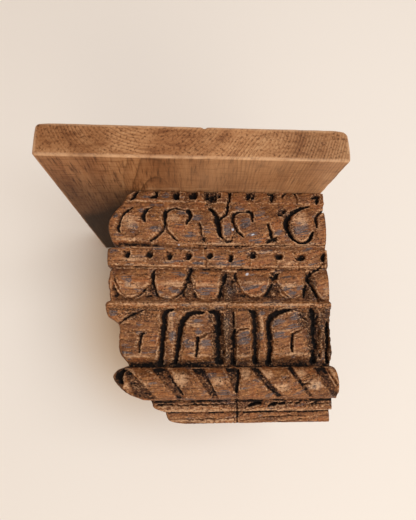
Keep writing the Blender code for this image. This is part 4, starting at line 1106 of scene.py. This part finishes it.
# %% Rings of the right block
def right_block():
    """Rings of the right block: joint from back to front, front, sawn end and back."""
    rows = profile_rows(372)
    v = rows[:, :1]
    front = BAND_FRONT + rows[:, 1:2]
    left = seam_at(v) + SEAM_GAP
    front_u = left + (RIGHT_END - left) * np.linspace(0, 1, 160)[None]
    depth = carved_front(rows, front_u, GRAIN_RISE, (33, 5, 8))
    first_w, last_w = front + depth[:, :1], front + depth[:, -1:]
    seam_w = first_w + (BOARD_DEPTH - first_w) * SEAM_SHARES[:, ::-1]
    end_w = last_w + (BOARD_DEPTH - last_w) * np.linspace(0, 1, 70)[None][:, 1:] ** 1.2
    saw = 0.20 + 0.20 * cloud(end_w / 5.0, v / 40, 41, 2) + 0.20 * cloud(end_w / 14, v / 9, 44, 2)
    end_depth = np.maximum(saw, 0) * step((BOARD_DEPTH - end_w) / 2)
    back_u = RIGHT_END + (left - RIGHT_END) * BACK_SHARES[:, 1:]
    rings = np.concatenate([
        to_metres(left, seam_w, v), to_metres(front_u, front + depth, v),
        to_metres(RIGHT_END - end_depth, end_w, v), to_metres(back_u, BOARD_DEPTH, v)], axis=1)
    marks = front_marks(rows, front_u, depth, GRAIN_RISE, (9, 10), (78, 97))
    seam_rest, end_rest, back_rest = (np.zeros((len(v), grid.shape[1])) for grid in (seam_w, end_w, back_u))
    sawn = np.clip(0.14 + 0.30 * cloud(end_w / 6, v / 70, 46, 2) + 0.10 * cloud(end_w / 20, v / 14, 47), 0, 1)
    behind = {"dirt_and_shade": np.maximum(sawn, marks["dirt_and_shade"][:, -1:] * np.exp(-(end_w - last_w) / 1.5)),
              "wear_and_painted_light": 0.5 * np.exp(-(end_w - last_w) / 1.2)}
    attributes = {key: np.concatenate([seam_rest, grid, behind.get(key, end_rest), back_rest], axis=1)
                  for key, grid in marks.items()}
    piece = tube("carved_right", rings, attributes, right_wood)
    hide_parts("carved_block_right")


right_block()

# %% [markdown]
# ## The board
# One sawn plank with its grain from front to back, so its front edge is end grain with arched
# growth rings. Its arrises are worn round. A rounded box is a box whose points are pulled to a
# distance from a smaller box inside it, and that distance may change from place to place.


# %% Rounded box from six grids
def box_points(x, y, z):
    """The surface of a box as six welded grids: each face is the product of two lists of places."""
    grids = []
    for axis, side in ((0, 0), (0, -1), (1, 0), (1, -1), (2, 0), (2, -1)):
        lists = [np.arange(len(one)) for one in (x, y, z)]
        lists[axis] = np.array([lists[axis][side]])
        grids.append((axis, side, np.stack(np.meshgrid(*lists, indexing="ij"), axis=-1).squeeze(axis)))
    keys = np.concatenate([grid.reshape(-1, 3) for _, _, grid in grids])
    unique, inverse = np.unique(keys, axis=0, return_inverse=True)
    inverse = inverse.ravel()
    faces, start = [], 0
    for axis, side, grid in grids:
        ids = inverse[start:start + grid.shape[0] * grid.shape[1]].reshape(grid.shape[:2])
        start += ids.size
        quad = np.stack([ids[:-1, :-1], ids[1:, :-1], ids[1:, 1:], ids[:-1, 1:]], axis=-1).reshape(-1, 4)
        outward = (side == -1) == (axis != 1)
        faces.append(quad if outward else quad[:, ::-1])
    places = np.stack([np.asarray(x)[unique[:, 0]], np.asarray(y)[unique[:, 1]], np.asarray(z)[unique[:, 2]]],
                      axis=1)
    return places, np.concatenate(faces)


def eased(length, count, margin, close):
    """Places from 0 to length: close together within a margin of each end, even between."""
    near = np.linspace(0, margin, close + 1)
    return np.concatenate([near[:-1], np.linspace(margin, length - margin, count), length - near[::-1][1:]])


points, faces = box_points(eased(BOARD_WIDTH, 190, 3.0, 6), eased(BOARD_DEPTH, 110, 3.0, 6),
                           eased(BOARD_THICKNESS, 16, 3.0, 6))
print("board grid of", len(points), "points")

# %% Wear of the board, with painted light and shade
NICK = 106.0  # place of the nick in the front's upper edge
u, w, h = points[:, 0], points[:, 1], points[:, 2]  # h runs up from the underside
radius = 1.1 + 0.5 * cloud(u / 13 + w / 19, h / 9 + w / 23, 61, 3)
from_right, from_top = u - BOARD_WIDTH, h - BOARD_THICKNESS
radius = (radius + 3.0 * np.exp(-(from_right / 7)**2 - (from_top / 8)**2)
          + 2.2 * np.exp(-((u / 7)**2) - (from_top / 8)**2))
radius = radius + 1.4 * np.exp(-(from_right / 6)**2 - (h / 6)**2) * (0.6 + 0.6 * cloud(w / 9, h / 9, 62))
radius = radius + 0.9 * np.exp(-((u - NICK) / 1.3)**2) * (h > 15) * (w < 8)
size = np.array([BOARD_WIDTH, BOARD_DEPTH, BOARD_THICKNESS])
reach = np.clip(points, radius[:, None], size - radius[:, None])
away = points - reach
distance = np.linalg.norm(away, axis=1, keepdims=True)
rounded = np.where(distance > 1e-6, reach + away / np.maximum(distance, 1e-6) * radius[:, None], points)
on_side, on_front, on_flat = (u < 1) | (u > 199), w < 1, (h < 1) | (h > 21)
sunk = (0.14 * (1 + cloud(u / 30, h / 3, 63, 3)) * on_front
        + 0.12 * (1 + cloud(u / 4, w / 60, 66, 3)) * on_flat)
sunk = sunk + 0.12 * (1 + cloud(w / 20, h / 4, 69, 3)) * on_side
sunk = sunk + 1.2 * np.exp(-((u - NICK) / 1.1)**2 - (from_top / 1.8)**2) * (w < 4)
inward = np.sign(size / 2 - points) * np.stack([on_side, on_front, on_flat], axis=1)
rounded = rounded + inward * sunk[:, None]
edge = np.sort(np.minimum(points, size - points), axis=1)[:, 1]
rub_and_painted_light = np.clip(1.4 - edge / 1.7, 0, 1) * (0.65 + 0.5 * cloud(u / 6, w / 9 + h / 5, 71))
beside_block = np.exp(-((w - 52.0 - 0.8 * cloud(u / 7, 0 * u, 74)) / 2.0)**2) * (h < 2) * step((u - 62) / 10)
# Painted light: the underside paler towards its right, as if lit from below, with handled wear
handled_and_lit = (h < 2) * step((u - 55) / 60) * (0.42 + 0.25 * cloud(u / 22, w / 30, 76))
rub_and_painted_light = np.maximum(np.maximum(rub_and_painted_light, handled_and_lit), beside_block * (0.55 + 0.5 * cloud(u / 4, w / 3, 75)))
shade_edge = 54.0 + 0.85 * (54.0 - u)  # where the block's painted shadow on the underside begins, with grime in it
# Painted shadow of the block on the underside, left of the block and towards the back, with grime
grime_and_painted_shade = 0.55 * step((w - 10) / 55) * step((76 - u) / 36) + 0.8 * step((w - shade_edge) / 50)
grime_and_painted_shade = grime_and_painted_shade * (h < 2) * (u < 76) * (0.9 + 0.1 * cloud(u / 9, w / 14, 72))
# Painted shade: the front edge a little darker towards both ends
grime_and_painted_shade = np.clip(grime_and_painted_shade + (0.10 * step((80 - u) / 40) + 0.20 * step((u - 120) / 60)) * on_front, 0, 1)
print("arrises from", round(float(radius.min()), 2), "to", round(float(radius.max()), 2), "mm")

# %% [markdown]
# ## The finish of the board
# A brown plank, planed long ago, oiled and dry: growth rings about 2 mm apart round the heart of
# the tree, so the end shows arches and the faces show lines from front to back. A ring is dark at
# its end, where the wood grew slowly.

# %% Oiled sawn board
board_wood, tree, output = new_material("oiled sawn board")
place = add(tree, "ShaderNodeTexCoord").outputs["Object"]
bent_place = add(tree, "ShaderNodeMapping", {"Vector": place, "Scale": (16.0, 4.0, 16.0)}).outputs[0]
board_grain = []
for scale, turn, detail, roughness in (
        ((16.0, 4.0, 16.0), 0.0, 2.0, 0.4),  # how the rings bend
        ((700.0, 60.0, 700.0), 0.0, 5.0, 0.6),  # fibres, 1.4 mm apart
        ((28.0, 9.0, 28.0), 0.0, 3.0, 0.5),  # stains 36 mm wide
        ((60.0, 420.0, 300.0), 0.12, 4.0, 0.6)):  # scuffs across the grain
    stretched = add(tree, "ShaderNodeMapping",
                    {"Vector": place, "Rotation": (0.0, 0.0, turn), "Scale": scale}).outputs[0]
    board_grain.append(add(tree, "ShaderNodeTexNoise", {"Vector": stretched, "Scale": 1.0, "Detail": detail,
                                                        "Roughness": roughness}).outputs["Fac"])
bent, fibre, stain, scuffs = board_grain
heart = add(tree, "ShaderNodeMapping",
            {"Vector": place, "Location": (0.026, 0.0, -0.1100), "Rotation": (0.05, 0.0, 0.02)}).outputs[0]
parts = add(tree, "ShaderNodeSeparateXYZ", {"Vector": heart})
flat_place = add(tree, "ShaderNodeCombineXYZ",
                 {"X": parts.outputs["X"], "Y": 0.0, "Z": parts.outputs["Z"]}).outputs[0]
heart_distance = add(tree, "ShaderNodeVectorMath", {0: flat_place}, operation="LENGTH").outputs["Value"]
bent_distance = add(tree, "ShaderNodeMath", {0: bent, 1: 0.018, 2: heart_distance},
                    operation="MULTIPLY_ADD").outputs[0]
ring_count = add(tree, "ShaderNodeMath", {0: bent_distance, 1: 480.0}, operation="MULTIPLY").outputs[0]
ring = add(tree, "ShaderNodeMath", {0: ring_count}, operation="FRACT").outputs[0]
plain = add(tree, "ShaderNodeTexNoise", {"Vector": bent_place, "Scale": 2.2, "Detail": 3.0}).outputs["Fac"]
bands_place = add(tree, "ShaderNodeCombineXYZ", {"X": bent_distance, "Y": 0.0, "Z": 0.0}).outputs[0]
bands = add(tree, "ShaderNodeTexNoise",
            {"Vector": bands_place, "Scale": 95.0, "Detail": 4.0, "Roughness": 0.65}).outputs["Fac"]
rings_tone, bands_tone, fibre_tone, stain_tone, scuff_tone = [
    add(tree, "ShaderNodeValToRGB", {"Fac": value}, stops).outputs[0] for value, stops in (
        (ring, [(0.0, "#c29468"), (0.5, "#b98a5f"), (0.8, "#a37650"), (0.93, "#7f5a3b"), (1.0, "#b98a5f")]),
        (bands, [(0.36, "#ad9684"), (0.46, "#f2e8df"), (0.58, "#ffffff")]),
        (fibre, [(0.34, "#7a604d"), (0.47, "#efe3d8"), (0.64, "#ffffff")]),
        (stain, [(0.36, "#d9cdc2"), (0.54, "#ffffff")]),
        (scuffs, [(0.34, "#c4b2a3"), (0.48, "#f6f0ea"), (0.64, "#ffffff")]))]
# The stain attribute is grime with the block's painted shadow; the wear one is rubbing with painted light
soot_and_painted_shade, rub_and_light_amount = [add(tree, "ShaderNodeAttribute", attribute_name=mark).outputs["Fac"] for mark in ("stain",
                                                                                                      "wear_and_painted_light")]
plain_mask = add(tree, "ShaderNodeMapRange", {0: plain, 1: 0.40, 2: 0.62, 3: 0.15, 4: 1.0}).outputs[0]
soot_and_shade_mask = add(tree, "ShaderNodeMapRange", {0: soot_and_painted_shade, 1: 0.0, 2: 1.0, 4: 0.92}).outputs[0]
rub_and_light_mask = add(tree, "ShaderNodeMath", {0: rub_and_light_amount, 1: 0.75}, operation="MULTIPLY",
               use_clamp=True).outputs[0]
# Layers of colour from the bottom up: rings, broad bands, fibres, scuffs, stains, soot with the block's
# painted shadow, rubbed wood with painted light
colour = linear("#b98a5f")
for share, over, way in (
        (plain_mask, rings_tone, COVER), (0.7, bands_tone, TINT), (0.8, fibre_tone, TINT),
        (0.8, scuff_tone, TINT),
        (1.0, stain_tone, TINT), (soot_and_shade_mask, linear("#1f1206"), COVER), (rub_and_light_mask, linear("#d8ab82"), COVER)):
    colour = add(tree, "ShaderNodeMix", {0: share, 6: colour, 7: over}, **way).outputs[2]
ring_height = add(tree, "ShaderNodeMath", {0: ring, 1: -0.25, 2: fibre}, operation="MULTIPLY_ADD").outputs[0]
grain_bump = add(tree, "ShaderNodeBump",
                 {"Height": ring_height, "Strength": 0.5, "Distance": 0.0005}).outputs[0]
shader = add(tree, "ShaderNodeBsdfPrincipled",
             {"Base Color": colour, "Roughness": 0.55, "Normal": grain_bump, "Specular IOR Level": 0.12})
tree.links.new(shader.outputs[0], output.inputs[0])
print("board finish of", len(tree.nodes), "nodes")

# %% Make the board
shelf_plank = into_scene("shelf_plank", to_metres(rounded[:, 0], rounded[:, 1], -rounded[:, 2]),
                         faces.tolist(),
                         {"wear_and_painted_light": rub_and_painted_light, "stain": grime_and_painted_shade}, board_wood)
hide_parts("shelf_board")

# %% [markdown]
# ## The surface behind
# The bracket lies on a smooth cream surface, which here stands upright behind it as a wall does.
# It has an opening just inside the bracket's own back and can be seen through from behind, so the
# bracket shows from all sides. Its darker, warm tone beside and below the block is painted shade,
# warmed as by light thrown back by the wood. It belongs to the stage.

# %% Wall with an opening behind the bracket
opening = np.array([(2, -21), (198, -21), (198, 168), (84, 168), (84, 158), (74, 152), (62, 149), (53, 146),
                    (48, 140.5), (54, 124.5), (50, 118), (44, 88), (42, 60), (44, 20), (54, 3), (2, -1.5)],
                    float)
centre = np.array([115.0, -6.0])
towards = opening - centre
outer = centre + towards / np.linalg.norm(towards, axis=1, keepdims=True) * 14000
steps = (np.linspace(0, 1, 5) ** 3)[:, None, None]
sheet = opening[None] * (1 - steps) + outer[None] * steps
count = len(opening)
ids = np.arange(5 * count).reshape(5, count)
after = np.roll(ids, -1, axis=1)
wall_mesh = bpy.data.meshes.new("wall")
wall_mesh.from_pydata(to_metres(sheet[..., 0], BOARD_DEPTH + 0.3, sheet[..., 1]).reshape(-1, 3), [],
                      np.stack([ids[:-1], after[:-1], after[1:], ids[1:]], axis=-1).reshape(-1, 4).tolist())
wall = bpy.data.objects.new("wall", wall_mesh)
bpy.context.scene.collection.objects.link(wall)
wall_paint, tree, output = new_material("matt cream wall")
wall_place = add(tree, "ShaderNodeTexCoord").outputs["Object"]
painted_shades = []
for location, scale, near, far, most in (
        ((0.052, 0.0, 0.005), (1.0, 1.0, 0.75), 0.012, 0.105, 1.0),  # painted warm shade beside the block
        ((-0.022, 0.0, 0.082), (0.32, 1.0, 1.0), 0.006, 0.040, 0.42)):  # painted shade below its foot
    moved = add(tree, "ShaderNodeMapping",
                {"Vector": wall_place, "Location": location, "Scale": scale}).outputs[0]
    far_off = add(tree, "ShaderNodeVectorMath", {0: moved}, operation="LENGTH").outputs["Value"]
    painted_shades.append(add(tree, "ShaderNodeMapRange", {0: far_off, 1: near, 2: far, 3: most, 4: 0.0},
                    interpolation_type="SMOOTHSTEP").outputs[0])
painted_shade_amount = add(tree, "ShaderNodeMath", {0: painted_shades[0], 1: painted_shades[1]}, operation="MAXIMUM").outputs[0]
# Painted shade: the wall darker and warmer beside the block and below its foot
wall_tone = add(tree, "ShaderNodeMix", {0: painted_shade_amount, 6: linear("#e6dccf"), 7: linear("#dcc3a4")},
                **COVER).outputs[2]
paint = add(tree, "ShaderNodeBsdfPrincipled",
            {"Base Color": wall_tone, "Roughness": 0.85, "Specular IOR Level": 0.15})
seen_from_behind = add(tree, "ShaderNodeNewGeometry").outputs["Backfacing"]
clear = add(tree, "ShaderNodeBsdfTransparent")
both = add(tree, "ShaderNodeMixShader", {0: seen_from_behind, 1: paint.outputs[0], 2: clear.outputs[0]})
tree.links.new(both.outputs[0], output.inputs[0])
wall_mesh.materials.append(wall_paint)
print("wall faces", [round(x, 2) for x in wall_mesh.polygons[0].normal])

# %% [markdown]
# ## Light and camera
# The light is soft and comes from the front, a little from the right and from below the bracket, so
# its left side is in shade. The camera stands where the photograph's did: its focal length and place
# were fitted to the board's corners and the mouldings.

# %% World and lamps
world = bpy.data.worlds.new("pale room")
world.use_nodes = True
world.node_tree.nodes["Background"].inputs["Color"].default_value = linear("#ffe7d2")
world.node_tree.nodes["Background"].inputs["Strength"].default_value = 0.47
bpy.context.scene.world = world
bpy.context.scene.view_settings.view_transform = "Standard"


def softbox(name, place, aim, size, power, tone):
    """A square area light at place that faces aim: its local -Z axis points there."""
    lamp = bpy.data.lights.new(name, "AREA")
    lamp.shape, lamp.size, lamp.energy, lamp.color = "SQUARE", size, power, linear(tone)[:3]
    holder = bpy.data.objects.new(name, lamp)
    bpy.context.scene.collection.objects.link(holder)
    holder.location = place
    holder.rotation_euler = (Vector(aim) - Vector(place)).to_track_quat("-Z", "Y").to_euler()
    return holder


softbox("window", (0.68, -2.20, -0.04), (0.0, -0.1, 0.0), 1.4, 43.5, "#e6f2ff")
softbox("low fill", (0.45, -0.80, -1.50), (0.0, -0.1, 0.0), 1.4, 10.0, "#fff8ee")

# %% Camera
PITCH, YAW, ROLL, FOCAL = math.radians(11.736), math.radians(3.492), math.radians(0.272), 410.0
PHOTO_WIDTH, SENSOR_WIDTH = 416, 36.0  # in pixels, as FOCAL is, and in millimetres
ahead = np.array([math.sin(YAW) * math.cos(PITCH), math.cos(YAW) * math.cos(PITCH), math.sin(PITCH)])
level = np.array([math.cos(YAW), -math.sin(YAW), 0.0])
down = np.cross(ahead, level)
right = math.cos(ROLL) * level + math.sin(ROLL) * down
lower = -math.sin(ROLL) * level + math.cos(ROLL) * down
eye = to_metres(CAMERA_U, CAMERA_W, CAMERA_V)
view = Matrix([[right[k], -lower[k], -ahead[k], eye[k]] for k in range(3)] + [[0, 0, 0, 1]])
lens = bpy.data.cameras.new("camera")
lens.sensor_fit, lens.sensor_width = "HORIZONTAL", SENSOR_WIDTH
lens.lens = FOCAL / PHOTO_WIDTH * SENSOR_WIDTH
lens.clip_start, lens.clip_end = 0.01, 20.0
camera = bpy.data.objects.new("camera", lens)
bpy.context.scene.collection.objects.link(camera)
camera.matrix_world = view
bpy.context.scene.camera = camera
print("camera at", [round(float(x), 4) for x in eye], "lens", round(lens.lens, 2))
